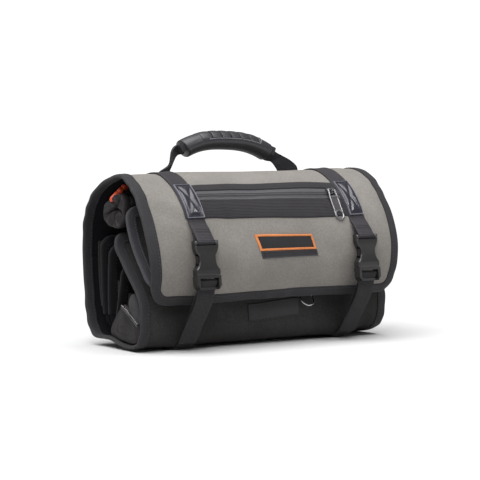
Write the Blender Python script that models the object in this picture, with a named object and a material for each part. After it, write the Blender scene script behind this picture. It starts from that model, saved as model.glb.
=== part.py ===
"""Tool roll: a canvas wrap round hinged pages, held shut by two buckled straps.

Metres, +Z up. +X runs along the roll, -Y is the front with the buckles, and the
origin is at the middle of the bottom, where the straps meet the ground.
"""
import math

import bmesh
import bpy
from mathutils import Vector

# Overall sizes
ROLL_LENGTH = 0.380
ROLL_DEPTH = 0.214
BODY_HEIGHT = 0.225
CURVE_STEPS = 5

# Cloth, edging and webbing
GAP = 0.0003
CLOTH = 0.0024
EDGING = 0.0010
EDGING_WIDTH = 0.0125
EDGING_GAP = 0.0004
CORNER_RADIUS = 0.016
CORNER_STEPS = 5
WEBBING = 0.0018
WEBBING_WIDTH = 0.025
STRAP_SPACING = 0.247
STACK = WEBBING + GAP

# The wrap's outer face seen from the end, from the front panel's top, under the
# roll and over it to the flap's hem: shares of the back's depth and of the height
WRAP_SHARES = [
    (0.152, 0.628), (0.114, 0.565), (-0.190, 0.430), (-0.458, 0.296), (-0.505, 0.143),
    (-0.440, 0.0), (-0.190, 0.0), (0.560, 0.0), (0.840, 0.071), (1.0, 0.350),
    (1.0, 0.660), (0.800, 0.870), (0.290, 1.0), (-0.100, 1.0), (-0.496, 0.879),
    (-0.724, 0.708), (-0.839, 0.529), (-0.763, 0.367), (-0.629, 0.251),
]
FRONT_FOLD_CORNER = 5
BACK_FOLD_CORNER = 8
TOP_FOLD_CORNER = 11

# Inside pieces
INNER_FLAP_SHARES = [(-0.060, 0.800), (-0.085, 0.720), (-0.215, 0.590), (-0.430, 0.475), (-0.650, 0.360)]
INNER_FLAP_INSET = 0.004
INNER_STRIP_INSET = 0.036
INNER_FLAP_ROOT_SHARE = 0.985
PAGE_THICKNESS = 0.0055
PAGE_INSET = 0.010
PAGE_PITCH = 0.0085
PAGE_FOOT_SHARE = 0.500
PAGE_LEAN_SHARES = [
    [(0.0, 0.062), (0.120, 0.224), (0.170, 0.448), (0.150, 0.605)],
    [(0.0, 0.062), (0.040, 0.224), (0.055, 0.430), (0.030, 0.565)],
    [(0.0, 0.062), (-0.100, 0.200), (-0.185, 0.360), (-0.215, 0.460)],
]
POCKET_THICKNESS = 0.003
POCKET_HEIGHT_SHARE = 0.55
BACK_POCKET_THICKNESS = 0.002
BACK_POCKET_SHARES = (0.12, 0.62)
POUCH_SHARES = [(0.200, 0.030), (0.010, 0.235), (-0.090, 0.240), (-0.365, 0.125), (-0.365, 0.050),
                (-0.290, 0.030)]
POUCH_INSET = 0.001
POUCH_ZIP_WIDTH = 0.024
TOP_POUCH_SHARES = [(0.095, 0.930), (0.055, 0.800), (0.080, 0.705), (0.220, 0.680), (0.400, 0.705),
                    (0.455, 0.800), (0.420, 0.900)]
TOP_POUCH_SEAM_SHARES = (0.350, 0.150)
TOP_POUCH_INSET = 0.005
TOP_POUCH_TAPER = 0.060
TOP_POUCH_END_MIDDLE_SHARES = (0.205, 0.765)
TOP_POUCH_END_SHARES = (1.0, 0.30)

# Zip pocket on the flap, read down the front from its top edge
PATCH_LENGTH = 0.055
PATCH_WIDTH = 0.0225
PATCH_THICKNESS = 0.0012
PATCH_TOP_HEIGHT_SHARE = 0.920
BAND_THICKNESS = 0.0012
UPPER_BAND_WIDTH = 0.0125
ZIP_TAPE_WIDTH = 0.0155
ZIP_TAPE_THICKNESS = 0.0009
COIL_WIDTH = 0.0044
COIL_HEIGHT = 0.0018
COIL_CREST_SHARE = 0.7
SLIDER_LENGTH = 0.0110
SLIDER_WIDTH = 0.0092
SLIDER_WALL = 0.0012
SLIDER_CLEARANCE = 0.0004
FIN_HOLE_RADIUS = 0.0018
FIN_WALL = 0.0012
FIN_THICKNESS = 0.0020
FIN_SIDES = 14
PULL_LENGTH = 0.045
PULL_WIDTH = 0.0130
PULL_THICKNESS = 0.0018
PULL_EYE_WIDTH = 0.0060
PULL_EYE_LENGTH = 0.0080
PULL_HOLE_RADIUS = 0.0042
PULL_SIDES = 8
PULL_REST_HEIGHT = 0.0044
PULL_SIDE_CLEARANCE = 0.0085

# Label patches
LABEL_LENGTH = 0.089
LABEL_HEIGHT = 0.022
LABEL_SLANT = 0.25
LABEL_BORDER = 0.0026
LABEL_THICKNESS = 0.0014
LABEL_TOP_HEIGHT_SHARE = 0.632
LABEL_STRIP_LENGTH = 0.080
LABEL_STRIP_HEIGHT = 0.0095
NAME_PATCH_LENGTH = 0.078
NAME_PATCH_HEIGHT = 0.022
NAME_PATCH_OFFSET = 0.007
NAME_PATCH_BOTTOM_SHARE = 0.150

# Side-release buckles, whose own frame has its origin on the mouth's line
BUCKLE_WIDTH = 0.0340
BUCKLE_THICKNESS = 0.0120
BUCKLE_BODY_LENGTH = 0.0370
BUCKLE_CHAMFER = 0.0014
SOCKET_SHARES = [
    (0.0, 0.97, 1.0), (0.05, 1.0, 1.04), (0.19, 1.0, 1.04), (0.30, 0.82, 0.97), (0.46, 0.70, 0.90),
    (0.65, 0.70, 0.88), (0.82, 0.92, 0.88), (0.95, 1.0, 0.84), (1.0, 0.98, 0.78),
]
BAR_RADIUS = 0.0019
BAR_LIFT = 0.0042
EAR_WIDTH = 0.0036
SOCKET_WIDTH = 0.0268
SOCKET_THICKNESS = 0.0080
SOCKET_DEPTH = 0.0300
MALE_LENGTH = 0.0175
MALE_CORNER = 0.0050
MALE_SHOULDER = 0.0034
MALE_RAIL = 0.0036
MALE_LIP_THICKNESS = 0.0032
MALE_LIP_HEIGHT = 0.0030
LADDER_DROP = 0.0082
PRONG_THICKNESS = 0.0056
TONGUE_WIDTH = 0.0052
TONGUE_LENGTH = 0.0190
ARM_LENGTH = 0.0265
ARM_ROOT = 0.0087
ARM_WIDTH = 0.0030
ARM_SHOULDER_SHARE = 0.52
ARM_CROWN_SHARE = 0.90
ARM_HEAD_CLEARANCE = 0.0004
BUCKLE_MOUTH_HEIGHT_SHARE = 0.425
BUCKLE_TILT_DEG = 6.5
BAR_SIDES = 12
CUT_OVERRUN = 0.002
LOOP_RETURN = 0.012
LOOP_STEP = math.radians(24)

# Lower straps, whose route hangs from the buckle to the front fold
STRAP_HANG_SHARES = [(-0.560, 0.060), (-0.700, 0.190), (-0.860, 0.320)]
TAIL_HANG_SHARES = [(-0.900, 0.265), (-0.790, 0.150), (-0.680, 0.045)]

# Handle
HANDLE_DEPTH_SHARE = 0.470
HANDLE_HALF_SPAN = 0.090
HAND_ROOM = 0.0265
HANDLE_WEBBING = 0.0025
HANDLE_TAPER = 0.022
HANDLE_TIP_WIDTH = 0.0050
HANDLE_KNEE_SHARE = 0.55
TIP_SHARES = [(0.98, 0.20), (0.75, 0.66), (0.40, 0.92)]
FOOT_LENGTH = 0.0215
FOOT_THICKNESS = 0.0026
FOOT_CLEARANCE = 0.0006
GRIP_LENGTH = 0.132
GRIP_SAG = 0.0137
GRIP_DROP_POWER = 2.6
GRIP_WIDTH = 0.031
GRIP_THICKNESS = 0.0255
GRIP_RIBS = 7
GRIP_RIB_DEPTH = 0.0011
GRIP_SIDES = 16
GRIP_SLOT_CLEARANCE = 0.0004
GRIP_RIBBED_SHARE = 0.62
GRIP_SHOULDER_SHARE = 0.93
GRIP_END_SHARE = 0.86
GROOVE_SHARE = 0.16

# Tool ring
RING_RADIUS = 0.0100
RING_WIRE = 0.0011
RING_OFFSET = 0.056
RING_HEIGHT_SHARE = 0.268
RING_TILT_DEG = 35.0
RING_TAB_WIDTH = 0.0060
RING_TAB_THICKNESS = 0.0010
RING_TAB_LENGTH = 0.010
RING_PLAY = 0.0008
RING_STEPS = 24
RING_SIDES = 8

# Orange pull of the gathered pouch
CORD_PULL_LENGTH = 0.040
CORD_PULL_RADIUS = 0.0042
CORD_PULL_SIDES = 12
CORD_PULL_X = 0.0330
CORD_PULL_HEIGHT_SHARE = 0.985
CORD_PULL_TILT_DEG = 50.0
CORD_TAB_THICKNESS = 0.0012
CORD_PULL_SHARES = [(0.0, 0.30), (0.24, 0.30), (0.30, 0.90), (0.36, 1.0), (0.90, 0.92), (1.0, 0.62)]

HALF_LENGTH = ROLL_LENGTH / 2
STRAP_X = STRAP_SPACING / 2
BACK_DEPTH = ROLL_DEPTH / 2 - STACK
CLOTH_RISE = BODY_HEIGHT - STACK
EDGE_INSET = EDGING + EDGING_GAP
TINY = GAP / 100

# Colours: name, red, green, blue, roughness, metallic
PALETTE = {
    "canvas": (0.235, 0.218, 0.205, 0.85, 0.0),
    "dark_canvas": (0.030, 0.028, 0.029, 0.85, 0.0),
    "edging": (0.045, 0.043, 0.050, 0.75, 0.0),
    "webbing": (0.040, 0.038, 0.043, 0.70, 0.0),
    "vinyl": (0.110, 0.108, 0.135, 0.28, 0.0),
    "buckle_plastic": (0.045, 0.045, 0.046, 0.42, 0.0),
    "grip_rubber": (0.042, 0.040, 0.043, 0.50, 0.0),
    "nickel": (0.520, 0.510, 0.500, 0.28, 1.0),
    "zip": (0.035, 0.034, 0.037, 0.55, 0.0),
    "label_orange": (0.700, 0.245, 0.095, 0.60, 0.0),
    "label_dark": (0.020, 0.020, 0.022, 0.60, 0.0),
    "orange_cord": (0.480, 0.070, 0.025, 0.55, 0.0),
}


def share_point(shares):
    """Point in the end view at given shares of the back's depth and the cloth's rise."""
    return Vector((shares[0] * BACK_DEPTH, STACK + shares[1] * CLOTH_RISE))


def rounded(corners, steps=CURVE_STEPS):
    """Curve that rounds off a polygon of corners and keeps its two ends."""
    points = [corners[0].copy()]
    last = len(corners) - 2
    for i in range(1, last + 1):
        start = corners[0] if i == 1 else (corners[i - 1] + corners[i]) / 2
        end = corners[-1] if i == last else (corners[i] + corners[i + 1]) / 2
        for k in range(1, steps + 1):
            t = k / steps
            points.append(start * (1 - t) ** 2 + corners[i] * 2 * t * (1 - t) + end * t ** 2)
    return points


class Run:
    """A strip of cloth seen from the end: the points of its outer face and their distance along."""

    def __init__(self, points):
        self.points = points
        self.along = [0.0]
        for a, b in zip(points, points[1:]):
            self.along.append(self.along[-1] + (b - a).length)
        self.length = self.along[-1]
        self.normals = []
        for i in range(len(points)):
            tangent = points[min(i + 1, len(points) - 1)] - points[max(i - 1, 0)]
            tangent.normalize()
            self.normals.append(Vector((tangent.y, -tangent.x)))

    def place(self, along, out=0.0):
        """Point (y, z) at a distance along the run, raised off its outer face."""
        i = 0
        while i < len(self.points) - 2 and self.along[i + 1] < along:
            i += 1
        t = (along - self.along[i]) / (self.along[i + 1] - self.along[i])
        a = self.points[i] + self.normals[i] * out
        b = self.points[i + 1] + self.normals[i + 1] * out
        return a.lerp(b, t)

    def stations(self, start, end):
        """Distances along the run at which a strip from start to end has an edge."""
        return [start] + [a for a in self.along if start + TINY < a < end - TINY] + [end]

    def find_height(self, height, start, end):
        """Distance along, between two others, at which the run first reaches a height."""
        marks = self.stations(start, end)
        for a, b in zip(marks, marks[1:]):
            za = self.place(a).y
            zb = self.place(b).y
            if (za - height) * (zb - height) <= 0 and za != zb:
                return a + (b - a) * (height - za) / (zb - za)
        raise ValueError("height not on this run")


WRAP = Run(rounded([share_point(s) for s in WRAP_SHARES]))


def fold_mark(corner):
    """Distance along the wrap at the middle of the bend round one corner of its outline."""
    index = (corner - 1) * CURVE_STEPS
    return (WRAP.along[index] + WRAP.along[index + CURVE_STEPS]) / 2


FRONT_FOLD = fold_mark(FRONT_FOLD_CORNER)
BACK_FOLD = fold_mark(BACK_FOLD_CORNER)
TOP_FOLD = fold_mark(TOP_FOLD_CORNER)
RIDGE = WRAP.along[12 * CURVE_STEPS]


def fold_axis(along):
    """Hinge line of a fold, on the webbing's outer face."""
    point = WRAP.place(along, STACK)
    return Vector((0.0, point.x, point.y))


# Bodies: the joint's place and the body that carries it
BODIES = {"base": (Vector((0.0, 0.0, 0.0)), None)}
EMPTIES = {}


def add_body(name, place, parent):
    """Make the empty that stands on a joint's axis and carries the pieces moving there."""
    BODIES[name] = (Vector(place), parent)
    empty = bpy.data.objects.new(name + "_joint", None)
    bpy.context.scene.collection.objects.link(empty)
    origin = Vector((0.0, 0.0, 0.0))
    if parent in EMPTIES:
        empty.parent = EMPTIES[parent]
        origin = BODIES[parent][0]
    empty.location = BODIES[name][0] - origin
    EMPTIES[name] = empty


def material(name):
    """Principled material from the palette, made once."""
    if name in bpy.data.materials:
        return bpy.data.materials[name]
    red, green, blue, roughness, metallic = PALETTE[name]
    made = bpy.data.materials.new(name)
    made.use_nodes = True
    shader = made.node_tree.nodes["Principled BSDF"]
    shader.inputs["Base Color"].default_value = (red, green, blue, 1.0)
    shader.inputs["Roughness"].default_value = roughness
    shader.inputs["Metallic"].default_value = metallic
    made.diffuse_color = (red, green, blue, 1.0)
    return made


def add_object(name, mesh, colour, body, location=(0.0, 0.0, 0.0), turn=0.0, smooth=False):
    """Put a mesh in the scene at a world place, carried by its body's joint."""
    item = bpy.data.objects.new(name, mesh)
    bpy.context.scene.collection.objects.link(item)
    if not mesh.materials:
        mesh.materials.append(material(colour))
    if smooth:
        mesh.shade_smooth()
        mesh.set_sharp_from_angle(angle=math.radians(40))
    item.rotation_euler = (turn, 0.0, 0.0)
    item.location = Vector(location) - BODIES[body][0]
    if body in EMPTIES:
        item.parent = EMPTIES[body]
    return item


def add_fixed(name, mesh, colour, body, smooth=False):
    """Put a mesh drawn in world coordinates on its body, with its origin on the joint."""
    place = BODIES[body][0]
    for vertex in mesh.vertices:
        vertex.co -= place
    return add_object(name, mesh, colour, body, place, 0.0, smooth)


def loft(rings, closed=False):
    """Mesh through rings of equally many points, with end faces unless it closes on itself."""
    work = bmesh.new()
    made = [[work.verts.new(p) for p in ring] for ring in rings]
    count = len(made[0])
    pairs = list(zip(made, made[1:]))
    if closed:
        pairs.append((made[-1], made[0]))
    for a, b in pairs:
        for i in range(count):
            j = (i + 1) % count
            work.faces.new((a[i], a[j], b[j], b[i]))
    if not closed:
        work.faces.new(made[0])
        work.faces.new(made[-1])
    bmesh.ops.recalc_face_normals(work, faces=work.faces)
    mesh = bpy.data.meshes.new("shape")
    work.to_mesh(mesh)
    work.free()
    return mesh


def prism(outline, axis, low, high):
    """Mesh of an outline pushed along one axis; outline points fill the other two in order."""
    def put(point, level):
        values = list(point)
        values.insert("xyz".index(axis), level)
        return Vector(values)
    return loft([[put(p, low) for p in outline], [put(p, high) for p in outline]])


def box_outline(left, right, low, high):
    return [(left, low), (right, low), (right, high), (left, high)]


def modify(item, operation, cutter):
    """Join or cut one object with another, which stays behind as a hidden guide."""
    cutter.hide_render = True
    cutter.display_type = "WIRE"
    change = item.modifiers.new(operation.lower(), "BOOLEAN")
    change.operation = operation
    change.solver = "EXACT"
    change.object = cutter


def guide(name, mesh, body, location=(0.0, 0.0, 0.0), turn=0.0):
    return add_object(name, mesh, "zip", body, location, turn)


def spot(run, x, along, out):
    """World point at a place across and along a run, raised off its outer face."""
    point = run.place(along, out)
    return Vector((x, point.x, point.y))


def ribbon(run, start, end, left, right, low, high, narrowing=None, extra=()):
    """Strip laid on a run; narrowing(along) is drawn in from both sides."""
    marks = sorted(set(run.stations(start, end)) | {e for e in extra if start < e < end})
    rings = []
    for along in marks:
        draw = narrowing(along) if narrowing else 0.0
        sides = ((left + draw, low), (right - draw, low), (right - draw, high), (left + draw, high))
        rings.append([spot(run, x, along, out) for x, out in sides])
    return loft(rings)


def corner_draw(end, radius, sign=1.0):
    """Function that draws a strip's sides in round its corners at one end."""
    def draw(along):
        inside = radius - sign * (end - along)
        if inside <= 0:
            return 0.0
        return radius - math.sqrt(max(radius ** 2 - inside ** 2, 0.0))
    return draw


def corner_marks(end, radius, sign=1.0):
    """Distances along at which a rounded corner has its points."""
    angles = [k * math.pi / 2 / CORNER_STEPS for k in range(CORNER_STEPS + 1)]
    return [end - sign * radius * (1 - math.sin(a)) for a in angles]


def edging_section(thickness):
    """Folded tape that holds an edge: inward distance and height, with the cloth's slot."""
    top = EDGING_GAP + EDGING
    bottom = -thickness - top
    return [
        (0.0, bottom), (0.0, top), (EDGING_WIDTH, top), (EDGING_WIDTH, top - EDGING),
        (EDGING, top - EDGING), (EDGING, bottom + EDGING), (EDGING_WIDTH, bottom + EDGING),
        (EDGING_WIDTH, bottom),
    ]


def edging(run, path, thickness, closed=False):
    """Folded tape along a path of (x, along, inward x, inward along)."""
    rings = []
    for x, along, in_x, in_along in path:
        ring = [spot(run, x + a * in_x, along + a * in_along, h) for a, h in edging_section(thickness)]
        rings.append(ring)
    return loft(rings, closed)


def side_path(run, start, end, side, half):
    """Path up one side of a strip."""
    return [(side * half, along, -side, 0.0) for along in run.stations(start, end)]


def corner_path(side, half, end, radius, sign, inwards):
    """Path round one corner, from the side towards the end edge, or back."""
    path = []
    for k in range(1, CORNER_STEPS + 1):
        a = k * math.pi / 2 / CORNER_STEPS
        x = side * (half - radius + radius * math.cos(a))
        along = end - sign * radius * (1 - math.sin(a))
        path.append((x, along, -side * math.cos(a), -sign * math.sin(a)))
    return path if inwards else path[::-1]


def hem_path(run, start, end, half, radius, sign=1.0):
    """Path up the right side, round the free end and down the left side."""
    straight_end = end - sign * radius
    low, high = min(start, straight_end), max(start, straight_end)
    right = side_path(run, low, high, 1.0, half)
    left = side_path(run, low, high, -1.0, half)
    if sign > 0:
        left.reverse()
    else:
        right.reverse()
    around = corner_path(1.0, half, end, radius, sign, True) + corner_path(-1.0, half, end, radius, sign, False)
    return right + around + left


def sheet(name, run, start, end, half, colour, body, rounded_end=None):
    """Cloth sheet inside its edging, with rounded corners at rounded_end."""
    left = -(half - EDGE_INSET)
    if rounded_end is None:
        mesh = ribbon(run, start, end, left, -left, -CLOTH, 0.0)
    else:
        sign = 1.0 if rounded_end == end else -1.0
        inner = rounded_end - sign * EDGE_INSET
        radius = CORNER_RADIUS - EDGE_INSET
        low, high = (start, inner) if sign > 0 else (inner, end)
        marks = corner_marks(inner, radius, sign)
        mesh = ribbon(run, low, high, left, -left, -CLOTH, 0.0, corner_draw(inner, radius, sign), marks)
    return add_fixed(name, mesh, colour, body)


def make_wrap():
    """The four stiffened cloth panels and the tape round their edges."""
    slack = GAP / 2
    half = HALF_LENGTH
    sheet("front_panel", WRAP, 0.0, FRONT_FOLD - slack, half, "dark_canvas", "front", 0.0)
    sheet("base_panel", WRAP, FRONT_FOLD + slack, BACK_FOLD - slack, half, "dark_canvas", "base")
    sheet("back_panel", WRAP, BACK_FOLD + slack, TOP_FOLD - slack, half, "dark_canvas", "back")
    sheet("cover_flap", WRAP, TOP_FOLD + slack, WRAP.length, half, "canvas", "cover", WRAP.length)
    for side, word in ((-1.0, "left"), (1.0, "right")):
        path = side_path(WRAP, FRONT_FOLD + slack, BACK_FOLD - slack, side, half)
        add_fixed("base_edging_" + word, edging(WRAP, path, CLOTH), "edging", "base")
        path = side_path(WRAP, BACK_FOLD + slack, TOP_FOLD - slack, side, half)
        add_fixed("back_edging_" + word, edging(WRAP, path, CLOTH), "edging", "back")
    path = hem_path(WRAP, FRONT_FOLD - slack, 0.0, half, CORNER_RADIUS, -1.0)
    add_fixed("front_edging", edging(WRAP, path, CLOTH), "edging", "front")
    path = hem_path(WRAP, TOP_FOLD + slack, WRAP.length, half, CORNER_RADIUS)
    add_fixed("cover_edging", edging(WRAP, path, CLOTH), "edging", "cover")


INNER_FLAP = Run(rounded([share_point(s) for s in INNER_FLAP_SHARES]))


def inner_flap_axis():
    """Seam where the inner flap's strip leaves the underside of the cover."""
    along = WRAP.find_height(STACK + CLOTH_RISE * INNER_FLAP_ROOT_SHARE, RIDGE, WRAP.length)
    point = WRAP.place(along, -CLOTH - GAP)
    return Vector((0.0, point.x, point.y))


def make_inner_flap():
    """The edged flap that hangs inside the cover, and the strip it hangs from."""
    length = INNER_FLAP.length
    half = HALF_LENGTH - INNER_FLAP_INSET
    radius = CORNER_RADIUS - EDGE_INSET
    low, high = EDGE_INSET, length - EDGE_INSET
    marks = corner_marks(low, radius, -1.0) + corner_marks(high, radius)
    at_top = corner_draw(low, radius, -1.0)
    at_bottom = corner_draw(high, radius)
    left = -(half - EDGE_INSET)
    mesh = ribbon(INNER_FLAP, low, high, left, -left, -CLOTH, 0.0,
                  lambda along: at_top(along) + at_bottom(along), marks)
    add_fixed("inner_flap", mesh, "dark_canvas", "inner_flap")
    path = side_path(INNER_FLAP, CORNER_RADIUS, length - CORNER_RADIUS, 1.0, half)
    path += corner_path(1.0, half, length, CORNER_RADIUS, 1.0, True)
    path += corner_path(-1.0, half, length, CORNER_RADIUS, 1.0, False)
    path += side_path(INNER_FLAP, CORNER_RADIUS, length - CORNER_RADIUS, -1.0, half)[::-1]
    path += corner_path(-1.0, half, 0.0, CORNER_RADIUS, -1.0, True)
    path += corner_path(1.0, half, 0.0, CORNER_RADIUS, -1.0, False)
    add_fixed("inner_flap_edging", edging(INNER_FLAP, path, CLOTH, True), "edging", "inner_flap")
    axis = inner_flap_axis()
    top = Vector((axis.y, axis.z - GAP))
    foot = INNER_FLAP.place(EDGING_WIDTH, EDGING_GAP + EDGING + GAP + WEBBING)
    bend = INNER_FLAP.place(0.0, EDGING_GAP + EDGING + GAP + 2 * WEBBING)
    strip = Run(rounded([top, bend, foot]))
    strip_half = half - INNER_STRIP_INSET
    mesh = ribbon(strip, 0.0, strip.length, -strip_half, strip_half, -WEBBING, 0.0)
    add_fixed("inner_flap_strip", mesh, "webbing", "inner_flap")


def find_depth(y, start, end):
    """Distance along the wrap, between two others, at which it first reaches a depth."""
    marks = WRAP.stations(start, end)
    for a, b in zip(marks, marks[1:]):
        ya, yb = WRAP.place(a).x, WRAP.place(b).x
        if (ya - y) * (yb - y) <= 0 and ya != yb:
            return a + (b - a) * (y - ya) / (yb - ya)
    raise ValueError("depth not on this run")


def page_run(index):
    """Middle line of one page, from its foot up."""
    y = PAGE_FOOT_SHARE * BACK_DEPTH - index * PAGE_PITCH
    floor = WRAP.place(find_depth(y + PAGE_THICKNESS / 2, FRONT_FOLD, BACK_FOLD), -CLOTH - EDGING_GAP - EDGING)
    points = [Vector((y, floor.y + GAP))]
    for lean, rise in PAGE_LEAN_SHARES[index]:
        mark = share_point((lean, rise))
        points.append(Vector((y + mark.x, mark.y)))
    return Run(rounded(points))


def page_axis(index):
    """Seam at the back of a page's foot."""
    point = page_run(index).place(0.0, PAGE_THICKNESS / 2)
    return Vector((0.0, point.x, point.y))


def make_pages():
    """Three padded pages, each with a row of flat tool pockets on its front face."""
    half = HALF_LENGTH - PAGE_INSET
    for index in range(len(PAGE_LEAN_SHARES)):
        run = page_run(index)
        body = "page_%d" % (index + 1)
        marks = corner_marks(run.length, CORNER_RADIUS)
        mesh = ribbon(run, 0.0, run.length, -half, half, -PAGE_THICKNESS / 2, PAGE_THICKNESS / 2,
                      corner_draw(run.length, CORNER_RADIUS), marks)
        add_fixed(body, mesh, "dark_canvas", body)
        low = -PAGE_THICKNESS / 2 - GAP
        start = PAGE_PITCH
        end = start + run.length * POCKET_HEIGHT_SHARE
        mesh = ribbon(run, start, end, -half + PAGE_INSET, half - PAGE_INSET,
                      low - POCKET_THICKNESS, low)
        add_fixed(body + "_pockets", mesh, "webbing", body)


def pouch_outline():
    """The base pouch seen from the end, from its back foot round to its front foot."""
    outline = [share_point(s) for s in POUCH_SHARES]
    floor = STACK + CLOTH + EDGING_GAP + EDGING + GAP
    return [Vector((p.x, floor if i in (0, len(outline) - 1) else p.y)) for i, p in enumerate(outline)]


def pouch_slope():
    """The sloping top of the base pouch, on which its zip runs."""
    outline = pouch_outline()
    return Run([outline[2], outline[3]])


def pouch_slider_frame():
    """Middle of the base pouch's slider on the cloth, with the directions down and out."""
    slope = pouch_slope()
    foot = slope.place(slope.length / 2)
    out = (slope.place(slope.length / 2, STACK) - foot).normalized()
    down = Vector((-out.y, out.x))
    x = HALF_LENGTH - POUCH_INSET - PAGE_INSET - SLIDER_LENGTH
    return Vector((x, foot.x, foot.y)), Vector((0.0, down.x, down.y)), Vector((0.0, out.x, out.y))


def drawn_pouch(outline):
    """Pouch with one outline along it, drawn in at both ends."""
    middle = share_point(TOP_POUCH_END_MIDDLE_SHARES)
    across, up = TOP_POUCH_END_SHARES
    drawn = [Vector((middle.x + (p.x - middle.x) * across, middle.y + (p.y - middle.y) * up)) for p in outline]
    half = HALF_LENGTH - TOP_POUCH_INSET
    full = half - TOP_POUCH_TAPER
    stations = ((-half, drawn), (-full, outline), (full, outline), (half, drawn))
    return loft([[Vector((x, p.x, p.y)) for p in shape] for x, shape in stations])


def make_pouches():
    """The zipped pouch on the base, the gathered pouch under the top, and the back's flat pocket."""
    outline = pouch_outline()
    half = HALF_LENGTH - POUCH_INSET
    mesh = prism(outline, "x", -half, half)
    add_fixed("base_pouch", mesh, "dark_canvas", "base")
    slope = pouch_slope()
    middle = slope.length / 2
    reach = half - PAGE_INSET
    rings = []
    for x in (-reach, reach):
        rings.append([spot(slope, x, middle + s, h) for s, h in zip_section(POUCH_ZIP_WIDTH, GAP, 1.0)])
    add_fixed("base_pouch_zip", loft(rings), "zip", "base")
    back_mark, front_mark = (find_depth(s * BACK_DEPTH, TOP_FOLD, RIDGE) for s in TOP_POUCH_SEAM_SHARES)
    outline = [WRAP.place(a, -CLOTH - GAP) for a in WRAP.stations(back_mark, front_mark)]
    outline += [share_point(s) for s in TOP_POUCH_SHARES]
    add_fixed("top_pouch", drawn_pouch(outline), "dark_canvas", "cover")
    span = TOP_FOLD - BACK_FOLD
    start = BACK_FOLD + span * BACK_POCKET_SHARES[0]
    end = BACK_FOLD + span * BACK_POCKET_SHARES[1]
    half = HALF_LENGTH - EDGING_WIDTH - PAGE_INSET
    mesh = ribbon(WRAP, start, end, -half, half, -CLOTH - GAP - BACK_POCKET_THICKNESS, -CLOTH - GAP)
    add_fixed("back_pocket", mesh, "webbing", "back")


def zip_section(width, base, sign):
    """Zip tape with its row of teeth standing up in the middle."""
    top = base + sign * ZIP_TAPE_THICKNESS
    crest = top + sign * COIL_HEIGHT
    half_coil = COIL_WIDTH / 2
    half_crest = half_coil * COIL_CREST_SHARE
    return [
        (-width / 2, base), (-width / 2, top), (-half_coil, top), (-half_crest, crest),
        (half_crest, crest), (half_coil, top), (width / 2, top), (width / 2, base),
    ]


def height_mark(share, start, end):
    """Distance along the wrap where it reaches a share of the cloth's rise."""
    return WRAP.find_height(STACK + share * CLOTH_RISE, start, end)


def patch_start():
    """Top edge of the strap patches and of the zip pocket."""
    return height_mark(PATCH_TOP_HEIGHT_SHARE, RIDGE, WRAP.length)


def zip_start():
    return patch_start() + UPPER_BAND_WIDTH + GAP


def make_zip_pocket():
    """Two bands with a zip between them, sewn across the flap from strap to strap."""
    half = STRAP_X - WEBBING_WIDTH / 2 - GAP
    top = GAP + BAND_THICKNESS
    start = patch_start()
    mesh = ribbon(WRAP, start, start + UPPER_BAND_WIDTH, -half, half, GAP, top)
    add_fixed("zip_band_upper", mesh, "edging", "cover")
    middle = zip_start() + ZIP_TAPE_WIDTH / 2
    section = zip_section(ZIP_TAPE_WIDTH, GAP, 1.0)
    floor = WRAP.stations(middle - ZIP_TAPE_WIDTH / 2, middle + ZIP_TAPE_WIDTH / 2)
    rings = []
    for x in (-half, half):
        lower = [spot(WRAP, x, along, GAP) for along in reversed(floor)]
        rings.append(lower + [spot(WRAP, x, middle + s, h) for s, h in section[1:-1]])
    add_fixed("zip_tape", loft(rings), "zip", "cover")
    low = zip_start() + ZIP_TAPE_WIDTH + GAP
    mesh = ribbon(WRAP, low, start + PATCH_LENGTH, -half, half, GAP, top)
    add_fixed("zip_band_lower", mesh, "edging", "cover")


def slider_frame():
    """Middle of the slider on the cloth, with the directions down the flap and out of it."""
    middle = zip_start() + ZIP_TAPE_WIDTH / 2
    foot = WRAP.place(middle)
    out = (WRAP.place(middle, STACK) - foot).normalized()
    down = Vector((-out.y, out.x))
    x = STRAP_X - WEBBING_WIDTH / 2 - PULL_SIDE_CLEARANCE - PULL_WIDTH / 2
    return Vector((x, foot.x, foot.y)), Vector((0.0, down.x, down.y)), Vector((0.0, out.x, out.y))


def slider_roof():
    """Height of the slider's top over the cloth."""
    return GAP + ZIP_TAPE_THICKNESS + COIL_HEIGHT + SLIDER_CLEARANCE + SLIDER_WALL


def fin_height():
    return slider_roof() + FIN_HOLE_RADIUS + FIN_WALL / 2


def pull_pivot():
    foot, down, out = slider_frame()
    return foot + out * fin_height()


def circle(radius, steps, start=0.0):
    """Points of a circle of so many steps."""
    turn = 2 * math.pi / steps
    return [(radius * math.cos(start + k * turn), radius * math.sin(start + k * turn)) for k in range(steps)]


def make_slider(name, foot, down, out):
    """Zip slider that rides over the teeth, with the fin that carries a pull."""
    base = GAP + ZIP_TAPE_THICKNESS + SLIDER_CLEARANCE
    roof = slider_roof()
    slot = COIL_WIDTH / 2 + SLIDER_CLEARANCE
    half = SLIDER_WIDTH / 2
    section = [(-half, base), (-half, roof), (half, roof), (half, base), (slot, base),
               (slot, roof - SLIDER_WALL), (-slot, roof - SLIDER_WALL), (-slot, base)]
    rings = []
    for x in (-SLIDER_LENGTH / 2, SLIDER_LENGTH / 2):
        rings.append([foot + Vector((x, 0.0, 0.0)) + down * s + out * h for s, h in section])
    slider = add_fixed(name, loft(rings), "nickel", name)
    centre = foot + out * fin_height()
    rings = []
    for a, b in circle(1.0, FIN_SIDES):
        ray = down * a + out * b
        ring = []
        for x, radius in ((-1, FIN_HOLE_RADIUS), (1, FIN_HOLE_RADIUS),
                          (1, FIN_HOLE_RADIUS + FIN_WALL), (-1, FIN_HOLE_RADIUS + FIN_WALL)):
            ring.append(centre + ray * radius + Vector((x * FIN_THICKNESS / 2, 0.0, 0.0)))
        rings.append(ring)
    modify(slider, "UNION", add_fixed(name + "_fin", loft(rings, True), "nickel", name))


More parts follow.
